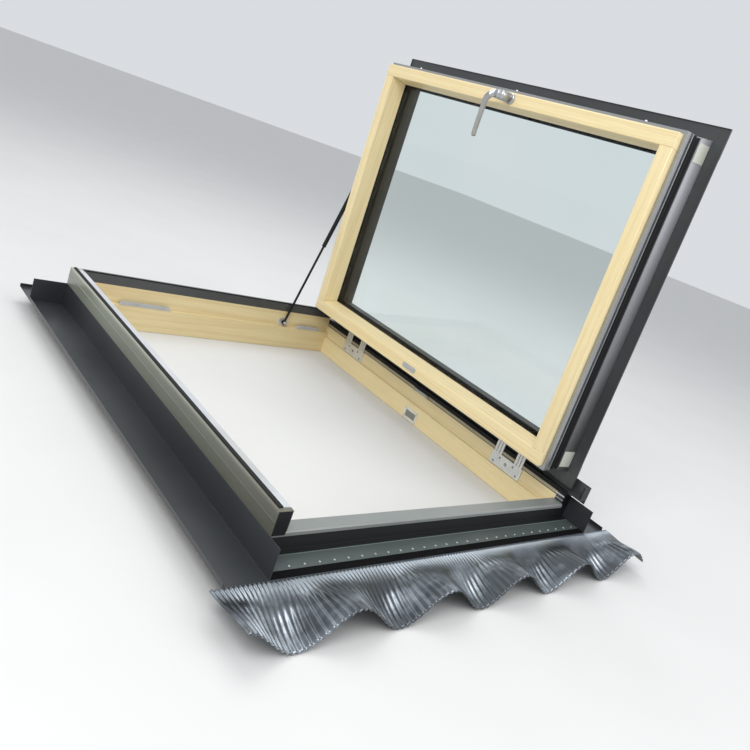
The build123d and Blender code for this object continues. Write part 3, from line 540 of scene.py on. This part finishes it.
# Material, axis of the grain, tone and nodes; a tone below 1 paints shade, as on the head and sill
TIMBERS = (
    ("Pine along the slope", 1, 1.0,
     ("frame_stile_left", "frame_stile_hinge", "sash_stile_hinge", "sash_stile_free")),
    ("Pine across the frame", 0, 0.86, ("frame_head", "frame_sill")),
    ("Pine up the open sash", 2, 1.0, ("sash_rail_top", "sash_rail_bottom")),
)
COVERS = ("cover_hinge", "cover_head")
SIDE_COVERS = ("cover_left", "cover_left_corner")
CLADDING = ("cladding_left", "cladding_hinge", "cladding_head", "cladding_sill", "cladding_corners")
FLASHING = ("side_flashing_left", "side_flashing_hinge", "head_flashing")
EDGE_PROFILES = ("edge_profile_left", "edge_profile_hinge", "edge_profile_head", "edge_profile_sill")
PLATED = ("lock_keeps", "mounting_brackets", "strut_sash_bracket", "lock_bar")
PLATED_AS_DRAWN = ("hinge_pins", "strut_frame_bracket")
MOULDED = ("head_bracket_left", "head_bracket_right", "catch_block", "catch_plate", "edge_clip")

# Places of the frame's faces, in millimetres
JAMB_FACE = 441.0
HEAD_FACE = 568.0
HALF_LENGTH = 590.0
COVER_TOP = 155.0
COVER_END = -620.0

# The apron, its strip, the painted-shadow strip under its hem and the waves of the roof under it, in
# millimetres
HEM_EDGE = -646.0
APRON_START = -665.0
APRON_END = -790.0
APRON_HALF_WIDTH = 580.0
APRON_LEVEL = 42.8
APRON_THICKNESS = 0.9
STRIP_HALF_WIDTH = 470.0
STRIP_END = -591.5
STRIP_LEVEL = 45.5
HEM_SHADOW_FOOT = 44.0
HEM_SHADOW_TOPS = (44.9, 45.3)
RIVET_LINE = -637.0
RIVET_PITCH = 33.3
RIVET_COUNT = 28
WAVE_LEVEL = 34.0
WAVE_SWING = 30.0
WAVE_PITCH = 222.0
WAVE_CREST = -142.0

# Where along the apron's fall the upper pleats end, and over what share of it the lower ones rise
UPPER_PLEATS_END = 0.38
LOWER_PLEATS_START = 0.26
LOWER_PLEATS_RISE = 0.30

# The left cover's gasket and lip, in millimetres
GASKET_BACK = -466.0
GASKET_FRONT = -457.5
GASKET_LENGTH = 1206.0
LIP_NOSE = -446.0
LIP_LENGTH = 1188.0

# On the hinge jamb, in millimetres: outlines as (x, z) where a bar runs along Y, as (y, z) along X
JAMB_STRIP_START = -565.0
JAMB_GASKET = ((JAMB_FACE, 108.0), (JAMB_FACE, 119.5), (JAMB_FACE + 6, 121.5), (JAMB_FACE + 6, 108.0))
# A thin black bar under the jamb's strip that paints a shadow line
JAMB_SHADOW_LINE = ((JAMB_FACE, 97.8), (JAMB_FACE, 99.4), (JAMB_FACE - 0.3, 99.4), (JAMB_FACE - 0.3, 97.8))
JAMB_STRIP = ((JAMB_FACE, 99.4), (JAMB_FACE, 108.0), (JAMB_FACE - 0.6, 107.6), (JAMB_FACE - 0.6, 99.8))
JAMB_END = ((-590.4, 80.0), (-590.4, 108.0), (-566.0, 108.0), (-566.0, 80.0))
JAMB_END_THICKNESS = 1.2
RIB_ENDS = (-591.0, -563.0)
RIB_LEVELS = ((103.0, 106.0), (93.0, 94.5), (80.0, 82.0))
RIB_RISE = 2.2

# The jamb's insert, its pocket and the tongue in it: outlines as (y, z), in millimetres
INSERT_FACE = 434.0
INSERT_THICKNESS = 2.0
POCKET_FACE = 433.6
POCKET_FLOOR_RISE = 0.3
TONGUE_RISE = 1.2
INSERT_PLATE = ((-17, 6), (-15, 4), (43, 4), (45, 6), (45, 38), (43, 40), (-15, 40), (-17, 38))
POCKET_FLOOR = ((-9.4, 11.6), (37.4, 11.6), (37.4, 32.4), (-9.4, 32.4))
POCKET_TONGUE = ((4, 15), (24, 15), (24, 24), (4, 24))

# The hinges, in millimetres: their middles, and the middles of their knuckles from there
HINGE_PLACES = (-386.0, 386.0)
KNUCKLE_GROUPS = (-39.0, 39.0)
JAMB_KNUCKLES = (-10.2, 0.0, 10.2)
SASH_KNUCKLES = (-5.1, 5.1)
JAMB_KNUCKLE_WIDTH = 5.6
SASH_KNUCKLE_WIDTH = 3.9
LEAF_HALF_LENGTH = 58.0
LEAF_FACE = 438.0
LEAF_THICKNESS = 3.0
LEAF_LEVELS = (60.0, 97.0)

# Outlines of the arms: (y, z) from the knuckle's middle on the jamb's leaf, (x, z) on the sash's
JAMB_ARM = ((-4.3, 96.0), (4.3, 96.0), (4.3, 140.0), (2.8, 143.0), (2.8, 148.0), (-2.8, 148.0),
            (-2.8, 143.0), (-4.3, 140.0))
SASH_ARM = ((437.0, 153.7), (446.0, 153.7), (446.0, 156.2), (437.0, 156.2))

# The screws on a jamb leaf as (y, z) from the hinge's middle: the large one, then the small ones
SCREW_LEVEL = 78.5
LARGE_SCREW = ((0.0, 0.0),)
SMALL_SCREWS = ((-44.1, -10.4), (-25.5, 7.4), (25.5, 7.4), (44.1, -10.4))

# The screws of the roof brackets, in millimetres
BRACKET_FACE = 592.5
BRACKET_PLACES = (-330, 330)
BRACKET_SCREWS = (-18, 18)
BRACKET_LEVEL = 20

# The handle's place on the sash's rail, in millimetres, the sash drawn shut
HANDLE_PLACE = (-405.0, -22.0)
SASH_BACK = 42.0
HUB_FOOT = 6.3

# Profiles of the handle's rosette and hub: (radius, height), in metres
ROSETTE = ((0.0, 0.0058), (0.0100, 0.0058), (0.0125, 0.0050), (0.0145, 0.0032), (0.0150, 0.0012),
           (0.0150, 0.0), (0.0, 0.0))
HUB = ((0.0, 0.0070), (0.0066, 0.0070), (0.0078, 0.0058), (0.0081, 0.0040), (0.0081, 0.0), (0.0, 0.0))

# The lever's course: run in millimetres, bend in degrees, whether it bends about its width, steps, and
# its size at the end against its size at the start
LEVER_COURSE = (
    (8.0, 0.0, True, 1, 1.0),
    (29.2, 76.0, True, 9, 0.90),
    (6.0, 0.0, True, 1, 0.97),
    (40.8, 90.0, False, 12, 0.70),
    (60.0, 0.0, False, 5, 0.93),
    (30.0, 6.0, True, 4, 0.95),
    (3.0, 0.0, False, 1, 0.90),
    (2.0, 0.0, False, 1, 0.78),
    (1.0, 0.0, False, 1, 0.60),
)


class SKYLIGHT_OT_timber(Operator):
    """Lacquered pine on the frame and the sash"""

    bl_idname = "skylight.timber"
    bl_label = "Timber"

    def execute(self, context):
        for name, run, tone, nodes in TIMBERS:
            material = pine_material(name, context.scene.skylight_colours, run, tone)
            finish_nodes(nodes, material, context.scene.skylight_sizes.timber_arris)
        return {"FINISHED"}


class SKYLIGHT_OT_sheet_metal(Operator):
    """Coated sheet of the covers, the cladding and the flashing"""

    bl_idname = "skylight.sheet_metal"
    bl_label = "Sheet metal"

    def execute(self, context):
        colours = context.scene.skylight_colours
        arris = context.scene.skylight_sizes.sheet_arris
        cover = coated_material("Cover sheet", colours.cover, 0.30, 0.42, coat=0.3)
        sill = coated_material("Sill cover sheet", colours.sill, 0.28, 0.40, coat=0.3)
        cladding = coated_material("Cladding sheet", colours.cover, 0.34, 0.48, coat=0.2)
        flashing = coated_material("Flashing sheet", colours.flashing, 0.30, 0.45, coat=0.2)
        finish_nodes(COVERS, cover, arris)
        finish_nodes(SIDE_COVERS, side_cover_material(colours), arris)
        finish_nodes(("cover_sill",), sill, arris)
        finish_nodes(CLADDING, cladding, arris)
        finish_nodes(FLASHING, flashing, arris)
        finish_nodes(("sill_flashing",), sill_flashing_material(colours), arris)
        return {"FINISHED"}


class SKYLIGHT_OT_apron(Operator):
    """Pleated apron on the waves of the roof, its rivets and a black strip under its hem that paints a
    shadow
    """

    bl_idname = "skylight.apron"
    bl_label = "Apron"

    def execute(self, context):
        colours = context.scene.skylight_colours
        sizes = context.scene.skylight_sizes
        keep(self.pleats(sizes), "Apron_pleats", apron_material(colours), "frame", ("apron",))
        metal = drawn_material("Rivet metal", colours.rivet, 2)
        keep(self.rivets(sizes), "Rivets", metal, "frame", ("apron_rivets",))
        # Painted shadow: the rubber colour darkened to 0.4 for the strip under the hem
        seal = moulded_material("Hem shadow black", shade(colours.rubber, 0.4), 0.7, 0.9, specular=0.1)
        keep(self.hem_shadow_strip(), "Hem_shadow_strip", seal, "frame")
        return {"FINISHED"}

    def level(self, sizes, x, fall):
        """The height of the apron at a place across it, its fall going from 0 at the hem to 1."""
        drape = fall * fall * (3.0 - 2.0 * fall)
        wave = WAVE_SWING * cos(2 * pi * (x - WAVE_CREST) / WAVE_PITCH)
        base = APRON_LEVEL + drape * (WAVE_LEVEL + wave - APRON_LEVEL)
        upper = max(0.0, 1.0 - fall / UPPER_PLEATS_END)
        lower = min(1.0, max(0.0, (fall - LOWER_PLEATS_START) / LOWER_PLEATS_RISE))
        fine = 1000.0 * sizes.top_pleat * upper * cos(2 * pi * x / (1000.0 * sizes.top_pitch))
        broad = 1000.0 * sizes.low_pleat * lower * cos(2 * pi * x / (1000.0 * sizes.low_pitch))
        return base + fine + broad

    def pleats(self, sizes):
        """One thin sheet, pleated and dressed down, and its flat strip under the sill flashing."""
        shape = bmesh.new()
        across = round(2 * APRON_HALF_WIDTH / (1000.0 * sizes.top_pitch)) * sizes.apron_steps
        bmesh.ops.create_grid(shape, x_segments=across, y_segments=22, size=1.0)
        for point in shape.verts:
            fall = (1.0 - point.co.y) / 2
            x = APRON_HALF_WIDTH * point.co.x
            y = APRON_START + fall * (APRON_END - APRON_START)
            point.co = millimetres(x, y, self.level(sizes, x, fall))
        bmesh.ops.recalc_face_normals(shape, faces=shape.faces)
        bmesh.ops.solidify(shape, geom=shape.faces[:], thickness=APRON_THICKNESS / 1000.0)
        for face in shape.faces:
            face.smooth = True
        strip = ((APRON_START, APRON_LEVEL), (STRIP_END, APRON_LEVEL), (STRIP_END, HEM_SHADOW_FOOT),
                 (APRON_START, HEM_SHADOW_FOOT))
        bar_along_x(shape, -STRIP_HALF_WIDTH, strip, 2 * STRIP_HALF_WIDTH)
        return shape

    def rivets(self, sizes):
        """Domed rivet heads along the strip."""
        shape = bmesh.new()
        radius = sizes.rivet_radius
        dome = [(0.0, 0.55 * radius), (0.45 * radius, 0.46 * radius), (0.8 * radius, 0.26 * radius),
                (radius, 0.0), (radius, -0.0002)]
        head = turned(dome, millimetres(0, RIVET_LINE, STRIP_LEVEL), Vector((0.0, 0.0, 1.0)), 12)
        first = -RIVET_PITCH * (RIVET_COUNT - 1) / 2
        take_in(shape, head, [millimetres(first + RIVET_PITCH * step, 0, 0) for step in range(RIVET_COUNT)])
        return shape

    def hem_shadow_strip(self):
        """A black strip between the hem and the pleats: a painted shadow."""
        shape = bmesh.new()
        end = APRON_START + 0.5
        outline = ((HEM_EDGE, HEM_SHADOW_FOOT), (end, HEM_SHADOW_FOOT), (end, HEM_SHADOW_TOPS[0]), (HEM_EDGE, HEM_SHADOW_TOPS[1]))
        bar_along_x(shape, -STRIP_HALF_WIDTH, outline, 2 * STRIP_HALF_WIDTH)
        soften_edges(shape, 0.0002)
        return shape


class SKYLIGHT_OT_gaskets(Operator):
    """Gaskets of the frame and the sash, the bare lip beside them and the metal on the hinge jamb"""

    bl_idname = "skylight.gaskets"
    bl_label = "Gaskets"

    def execute(self, context):
        colours = context.scene.skylight_colours
        sizes = context.scene.skylight_sizes
        rubber = moulded_material("Black rubber", colours.rubber, 0.45, 0.65, specular=0.25)
        rise = 1000.0 * sizes.gasket_height
        keep(self.frame_gasket(rise), "Frame_gasket", rubber, "frame", ("frame_gasket",))
        bare = coated_material("Bare lip", colours.lip, 0.30, 0.40, metallic=0.5)
        keep(self.lip(rise), "Gasket_lip", bare, "frame")
        # The strip is metal; its warm tint is a painted reflection of the pine
        strip = coated_material("Jamb strip", colours.jamb_strip, 0.35, 0.48, metallic=0.2)
        keep(self.jamb_strip(), "Jamb_strip", strip, "frame")
        sheet = coated_material("Jamb end sheet", colours.cover, 0.28, 0.40, coat=0.3)
        keep(self.jamb_end(), "Jamb_end", sheet, "frame")
        keep(self.jamb_end_ribs(), "Jamb_end_ribs", bare, "frame")
        finish_nodes(("sash_gasket", "glazing_seal"), rubber, sizes.sheet_arris)
        trim = moulded_material("Black trim", colours.rubber, 0.30, 0.42, specular=0.3)
        finish_nodes(("glazing_cap", "sill_corner_caps"), trim, sizes.sheet_arris)
        paint(("strut_tube", "strut_rod", "glass_spacer"), trim)
        return {"FINISHED"}

    def frame_gasket(self, rise):
        """Wide gasket on the left cover, narrow ones at the head and hinge jamb, and a black bar painting a
        shadow line.
        """
        shape = bmesh.new()
        top = COVER_TOP + rise
        wide = ((GASKET_BACK, COVER_TOP), (GASKET_FRONT, COVER_TOP), (GASKET_FRONT, top - 1),
                (GASKET_FRONT - 2.5, top - 0.5), (GASKET_BACK + 1.5, top - 1.5),
                (GASKET_BACK, COVER_TOP + 1))
        bar_along_y(shape, COVER_END, wide, GASKET_LENGTH)
        back = HEAD_FACE + 10
        narrow = ((HEAD_FACE, COVER_TOP), (HEAD_FACE, top), (HEAD_FACE + 3, top), (back, COVER_TOP + 2),
                  (back, COVER_TOP))
        bar_along_x(shape, -JAMB_FACE, narrow, 2 * JAMB_FACE)
        bar_along_y(shape, -HALF_LENGTH, JAMB_GASKET, 2 * HALF_LENGTH)
        soften_edges(shape, 0.0008)
        # Painted shadow: a thin black bar under the jamb's strip
        bar_along_y(shape, JAMB_STRIP_START, JAMB_SHADOW_LINE, HEAD_FACE - JAMB_STRIP_START)
        return shape

    def jamb_strip(self):
        """A metal strip on the hinge jamb, right under the gasket."""
        shape = bmesh.new()
        bar_along_y(shape, JAMB_STRIP_START, JAMB_STRIP, HEAD_FACE - JAMB_STRIP_START)
        return shape

    def jamb_end(self):
        """A sheet over the end of the hinge jamb, above the sill."""
        shape = bmesh.new()
        bar_along_x(shape, JAMB_FACE, JAMB_END, -JAMB_END_THICKNESS)
        soften_edges(shape, 0.0003)
        return shape

    def jamb_end_ribs(self):
        """Bare ribs on the sheet over the jamb's end."""
        shape = bmesh.new()
        start, end = RIB_ENDS
        for low, high in RIB_LEVELS:
            rib = ((start, low), (start, high), (end, high), (end, low))
            bar_along_x(shape, JAMB_FACE, rib, -RIB_RISE)
        soften_edges(shape, 0.0004)
        return shape

    def lip(self, rise):
        """A bare aluminium lip along the inner edge of the left cover."""
        shape = bmesh.new()
        outline = ((GASKET_FRONT, COVER_TOP), (-JAMB_FACE, COVER_TOP), (-JAMB_FACE, COVER_TOP + 0.6),
                   (LIP_NOSE, COVER_TOP + 1.2), (GASKET_FRONT, COVER_TOP + rise - 1))
        bar_along_y(shape, COVER_END, outline, LIP_LENGTH)
        soften_edges(shape, 0.0005)
        return shape


class SKYLIGHT_OT_handle(Operator):
    """Satin lever handle and its rosette"""

    bl_idname = "skylight.handle"
    bl_label = "Handle"

    def execute(self, context):
        colours = context.scene.skylight_colours
        silver = coated_material("Satin silver", colours.lever, 0.26, 0.36, metallic=0.85)
        lever = self.lever(context.scene.skylight_sizes)
        keep(lever, "Lever", silver, "handle", ("handle",))
        foot = millimetres(*HANDLE_PLACE, SASH_BACK)
        rosette = turned(ROSETTE, foot, Vector((0.0, 0.0, -1.0)), 40)
        bmesh.ops.transform(rosette, matrix=OPENED, verts=rosette.verts)
        keep(rosette, "Rosette", silver, "sash", ("handle_rosette",))
        return {"FINISHED"}

    def lever(self, sizes):
        """A flattened bar that leaves the rosette, leans over and turns along the grip."""
        shape = bmesh.new()
        foot = millimetres(*HANDLE_PLACE, SASH_BACK - HUB_FOOT)
        made = bmesh.ops.create_circle(shape, cap_ends=True, segments=24, radius=0.5)
        bmesh.ops.scale(shape, vec=(sizes.lever_width, sizes.lever_thickness, 1.0), verts=made["verts"])
        bmesh.ops.translate(shape, vec=foot, verts=made["verts"])
        end = shape.faces[:]
        heading = Vector((0.0, 0.0, -1.0))
        across = Vector((1.0, 0.0, 0.0))
        for run, angle, about_width, steps, size in LEVER_COURSE:
            for _ in range(steps):
                axis = across if about_width else heading.cross(across)
                turn = Matrix.Rotation(radians(angle) / steps, 3, axis)
                end = self.carry(shape, end, heading * run / steps / 2000.0, turn, size ** (1.0 / steps))
                heading = turn @ heading
                across = turn @ across
                points = list({point for face in end for point in face.verts})
                bmesh.ops.translate(shape, vec=heading * run / steps / 2000.0, verts=points)
        take_in(shape, turned(HUB, foot, Vector((0.0, 0.0, -1.0)), 32))
        for face in shape.faces:
            face.smooth = True
        bmesh.ops.transform(shape, matrix=OPENED, verts=shape.verts)
        return shape

    def carry(self, shape, faces, run, turn, size):
        """Carry an end on in a straight line, then turn it and change its size about its middle."""
        moved = bmesh.ops.extrude_face_region(shape, geom=faces)["geom"]
        points = points_of(moved)
        bmesh.ops.translate(shape, vec=run, verts=points)
        middle = sum((point.co for point in points), Vector()) / len(points)
        bmesh.ops.rotate(shape, cent=middle, matrix=turn, verts=points)
        bmesh.ops.scale(shape, vec=(size, size, size), space=Matrix.Translation(-middle), verts=points)
        return [part for part in moved if isinstance(part, bmesh.types.BMFace)]


class SKYLIGHT_OT_hinges(Operator):
    """Hinge leaves with rolled knuckles, and their screws"""

    bl_idname = "skylight.hinges"
    bl_label = "Hinges"

    def execute(self, context):
        colours = context.scene.skylight_colours
        steel = zinc_material("Hinge steel", colours.zinc)
        for place, name in zip(HINGE_PLACES, ("lower", "upper")):
            jamb_node, sash_node = "hinge_leaf_" + name, "sash_leaf_" + name
            keep(self.jamb_leaf(place), "Hinge_leaf_" + name, steel, "frame", (jamb_node,))
            keep(self.sash_leaf(place), "Sash_leaf_" + name, steel, "sash", (sash_node,))
        screws = self.screws(context.scene.skylight_sizes)
        screw_steel = zinc_material("Screw steel", colours.screw)
        keep(screws, "Hinge_screws", screw_steel, "frame", ("hinge_screws",))
        paint(PLATED_AS_DRAWN, steel)
        return {"FINISHED"}

    def middles(self, place, knuckles):
        """The middles of one hinge's knuckles along the pin."""
        return [place + group + step for group in KNUCKLE_GROUPS for step in knuckles]

    def knuckle(self, middle, width, bore):
        """A rolled knuckle about the pin."""
        half, outer, edge = width / 2000.0, 0.0065, 0.0005
        profile = [(bore, -half), (outer - edge, -half), (outer, edge - half), (outer, half - edge),
                   (outer - edge, half), (bore, half)]
        place = PIN_LINE + millimetres(0, middle, 0)
        return turned(profile, place, Vector((0.0, 1.0, 0.0)), 28, closed=True)

    def jamb_leaf(self, place):
        """The plate on the jamb and the arms that carry its knuckles."""
        shape = bmesh.new()
        low, high = place - LEAF_HALF_LENGTH, place + LEAF_HALF_LENGTH
        foot, head = LEAF_LEVELS
        plate = ((low, foot), (high, foot), (high, head), (low, head))
        bar_along_x(shape, LEAF_FACE, plate, LEAF_THICKNESS)
        middles = self.middles(place, JAMB_KNUCKLES)
        for middle in middles:
            bar_along_x(shape, LEAF_FACE, [(middle + y, z) for y, z in JAMB_ARM], LEAF_THICKNESS)
        soften_edges(shape, 0.0006)
        for middle in middles:
            take_in(shape, self.knuckle(middle, JAMB_KNUCKLE_WIDTH, 0.0030))
        return shape

    def sash_leaf(self, place):
        """The plate on the flared edge profile, its arms and its knuckles, swung open with the sash."""
        shape = bmesh.new()
        foot = millimetres(431.46, place - LEAF_HALF_LENGTH, 125.0)
        head = millimetres(436.7, place - LEAF_HALF_LENGTH, 159.5)
        off = millimetres(2.5, 0, 0)
        bar(shape, [foot, head, head + off, foot + off], millimetres(0, 2 * LEAF_HALF_LENGTH, 0))
        middles = self.middles(place, SASH_KNUCKLES)
        for middle in middles:
            bar_along_y(shape, middle - SASH_KNUCKLE_WIDTH / 2, SASH_ARM, SASH_KNUCKLE_WIDTH)
        soften_edges(shape, 0.0005)
        for middle in middles:
            take_in(shape, self.knuckle(middle, SASH_KNUCKLE_WIDTH, 0.0033))
        bmesh.ops.transform(shape, matrix=OPENED, verts=shape.verts)
        return shape

    def screws(self, sizes):
        """Countersunk heads with a round recess, five on each jamb leaf."""
        shape = bmesh.new()
        centre = millimetres(LEAF_FACE, 0, SCREW_LEVEL)
        small = sizes.screw_radius
        for radius, offsets in ((1.4 * small, LARGE_SCREW), (small, SMALL_SCREWS)):
            profile = [(0.0, -0.0006), (0.36 * radius, -0.0006), (0.45 * radius, 0.0010),
                       (0.8 * radius, 0.0008), (radius, 0.0), (radius, -0.0004)]
            places = [millimetres(0, hinge + y, z) for hinge in HINGE_PLACES for y, z in offsets]
            take_in(shape, turned(profile, centre, Vector((-1.0, 0.0, 0.0)), 18), places)
        return shape


class SKYLIGHT_OT_fittings(Operator):
    """Extrusions, keeps, brackets, the jamb's insert and the glass"""

    bl_idname = "skylight.fittings"
    bl_label = "Fittings"

    def execute(self, context):
        colours = context.scene.skylight_colours
        sizes = context.scene.skylight_sizes
        finish_nodes(EDGE_PROFILES, edge_profile_material(colours), sizes.sheet_arris)
        channel = drawn_material("Lock channel", colours.extrusion, 1, 0.34)
        finish_nodes(("lock_channel",), channel, sizes.sheet_arris)
        plate = coated_material("Corner plate", colours.corner_plate, 0.35, 0.48, metallic=0.2)
        finish_nodes(("edge_corners",), plate, sizes.sheet_arris)
        steel = zinc_material("Plated steel", colours.zinc)
        finish_nodes(PLATED, steel, sizes.sheet_arris)
        grey = moulded_material("Grey plastic", colours.grey_plastic, 0.38, 0.5)
        finish_nodes(MOULDED, grey, sizes.fitting_arris)
        white = moulded_material("White plastic", colours.white_plastic, 0.38, 0.5)
        keep(self.insert(), "Insert", white, "frame", ("jamb_insert",))
        # The pocket's grey is partly the plastic's own colour and partly painted shade in the shallow recess
        dim = moulded_material("Pocket plastic", colours.pocket, 0.45, 0.6)
        keep(self.pocket(), "Insert_pocket", dim, "frame")
        keep(self.bracket_screws(sizes), "Bracket_screws", steel, "frame", ("bracket_screws",))
        paint(("glass_inner", "glass_outer"), glass_material())
        return {"FINISHED"}

    def insert(self):
        """A plate on the jamb with a wide pocket."""
        shape = bmesh.new()
        bar_along_x(shape, INSERT_FACE, INSERT_PLATE, -INSERT_THICKNESS)
        bmesh.ops.recalc_face_normals(shape, faces=shape.faces)
        front = min(shape.faces, key=lambda face: face.calc_center_median().x)
        bmesh.ops.inset_region(shape, faces=[front], thickness=0.0070, use_even_offset=True)
        bmesh.ops.inset_region(shape, faces=[front], thickness=0.0004, depth=-0.0015, use_even_offset=True)
        soften_edges(shape, 0.0003)
        return shape

    def pocket(self):
        """The floor of the pocket and the tongue that stands in it."""
        shape = bmesh.new()
        bar_along_x(shape, POCKET_FACE, POCKET_FLOOR, -POCKET_FLOOR_RISE)
        bar_along_x(shape, POCKET_FACE, POCKET_TONGUE, -TONGUE_RISE)
        return shape

    def bracket_screws(self, sizes):
        """Pan heads on the roof brackets."""
        shape = bmesh.new()
        radius = sizes.screw_radius
        profile = [(0.0, 0.0008), (0.4 * radius, 0.0008), (0.5 * radius, 0.0024), (0.85 * radius, 0.0018),
                   (radius, 0.0006), (radius, 0.0)]
        places = [millimetres(x + step, 0, 0) for x in BRACKET_PLACES for step in BRACKET_SCREWS]
        for facing in (-1.0, 1.0):
            middle = millimetres(0, facing * BRACKET_FACE, BRACKET_LEVEL)
            take_in(shape, turned(profile, middle, Vector((0.0, facing, 0.0)), 18), places)
        return shape


# The camera, from the photograph: place and axes in metres, lens and centre in pixels of a 750 pixel frame
CAMERA_PLACE = Vector((-1.1549, -1.4597, 0.7556))
CAMERA_RIGHT = Vector((0.7200, -0.6022, 0.3449))
CAMERA_DOWN = Vector((0.0851, -0.4166, -0.9051))
CAMERA_AHEAD = Vector((0.6887, 0.6810, -0.2487))
FOCAL_PIXELS = 717.7
PHOTO_PIXELS = 750.0
CENTRE_PIXEL = (409.1, 356.7)

# Lamps: name, place, the point that they face, size in metres and power in watts
LAMPS = (
    ("Key", (-2.6, -1.6, 3.4), (0.1, 0.0, 0.4), 2.2, 95.0),
    ("Fill", (1.6, -3.4, 2.2), (0.2, -0.2, 0.3), 2.6, 45.0),
    ("Top", (0.3, 1.6, 4.0), (0.0, 0.0, 0.3), 3.0, 60.0),
)

# The sky, and the floor's reach and its gap under the frame in metres
SKY_COLOUR = (0.93, 0.96, 1.0, 1.0)
SKY_STRENGTH = 0.75
FLOOR_REACH = 30.0
FLOOR_GAP = 0.0005


class SKYLIGHT_OT_stage(Operator):
    """Floor, lights and camera"""

    bl_idname = "skylight.stage"
    bl_label = "Stage"

    def execute(self, context):
        self.add_floor(context.scene.skylight_colours)
        for lamp in LAMPS:
            self.add_light(*lamp)
        self.add_world()
        self.add_camera()
        context.scene.view_settings.view_transform = "Standard"
        return {"FINISHED"}

    def add_floor(self, colours):
        """A wide pale floor under the frame."""
        mesh = bpy.data.meshes.new("Floor")
        shape = bmesh.new()
        bmesh.ops.create_grid(shape, x_segments=8, y_segments=8, size=FLOOR_REACH)
        bmesh.ops.translate(shape, vec=(0.0, 0.0, cad_bounds[0][2] - FLOOR_GAP), verts=shape.verts)
        shape.to_mesh(mesh)
        shape.free()
        floor = bpy.data.objects.new("Floor", mesh)
        bpy.context.scene.collection.objects.link(floor)
        material, tree, shader = new_material("Pale floor")
        cloud = noise(tree, object_coordinates(tree), 3.0, 3.0)
        tree.links.new(tones(tree, cloud, colours.floor, 0.985, 1.015), shader.inputs["Base Color"])
        set_inputs(shader, Roughness=0.7)
        mesh.materials.append(material)

    def add_light(self, name, place, target, size, power):
        """A soft square lamp aimed at a point."""
        lamp = bpy.data.lights.new(name, "AREA")
        lamp.size = size
        lamp.energy = power
        item = bpy.data.objects.new(name, lamp)
        item.location = place
        item.rotation_euler = (Vector(target) - Vector(place)).to_track_quat("-Z", "Y").to_euler()
        bpy.context.scene.collection.objects.link(item)

    def add_world(self):
        """An even pale sky."""
        world = bpy.data.worlds.new("Pale sky")
        world.use_nodes = True
        set_inputs(world.node_tree.nodes["Background"], Color=SKY_COLOUR, Strength=SKY_STRENGTH)
        bpy.context.scene.world = world

    def add_camera(self):
        """The camera at the photograph's angle."""
        lens = bpy.data.cameras.new("Camera")
        lens.sensor_width = 36.0
        lens.sensor_fit = "HORIZONTAL"
        lens.lens = lens.sensor_width * FOCAL_PIXELS / PHOTO_PIXELS
        lens.shift_x = (PHOTO_PIXELS / 2 - CENTRE_PIXEL[0]) / PHOTO_PIXELS
        lens.shift_y = (CENTRE_PIXEL[1] - PHOTO_PIXELS / 2) / PHOTO_PIXELS
        lens.clip_end = 100.0
        camera = bpy.data.objects.new("Camera", lens)
        axes = Matrix((CAMERA_RIGHT, -CAMERA_DOWN, -CAMERA_AHEAD)).transposed()
        camera.matrix_world = Matrix.Translation(CAMERA_PLACE) @ axes.to_4x4()
        bpy.context.scene.collection.objects.link(camera)
        bpy.context.scene.camera = camera


class SKYLIGHT_PT_panel(Panel):
    """Lists the steps that finish the skylight"""

    bl_idname = "SKYLIGHT_PT_panel"
    bl_label = "Roof skylight"
    bl_space_type = "VIEW_3D"
    bl_region_type = "UI"
    bl_category = "Skylight"

    def draw(self, context):
        for step in STEPS:
            self.layout.operator(step.bl_idname)
        for name in SkylightColours.__annotations__:
            self.layout.prop(context.scene.skylight_colours, name)
        for name in SkylightSizes.__annotations__:
            self.layout.prop(context.scene.skylight_sizes, name)


STEPS = (SKYLIGHT_OT_timber, SKYLIGHT_OT_sheet_metal, SKYLIGHT_OT_apron, SKYLIGHT_OT_gaskets,
         SKYLIGHT_OT_handle, SKYLIGHT_OT_hinges, SKYLIGHT_OT_fittings, SKYLIGHT_OT_stage)
CLASSES = (SkylightColours, SkylightSizes, *STEPS, SKYLIGHT_PT_panel)


def register():
    """Add the classes and the settings."""
    for item in CLASSES:
        bpy.utils.register_class(item)
    bpy.types.Scene.skylight_colours = PointerProperty(type=SkylightColours)
    bpy.types.Scene.skylight_sizes = PointerProperty(type=SkylightSizes)


def unregister():
    """Take the classes and the settings away."""
    del bpy.types.Scene.skylight_sizes
    del bpy.types.Scene.skylight_colours
    for item in reversed(CLASSES):
        bpy.utils.unregister_class(item)


def main():
    """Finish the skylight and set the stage."""
    register()
    for step in STEPS:
        group, name = step.bl_idname.split(".")
        getattr(getattr(bpy.ops, group), name)()


if __name__ == "__main__":
    main()
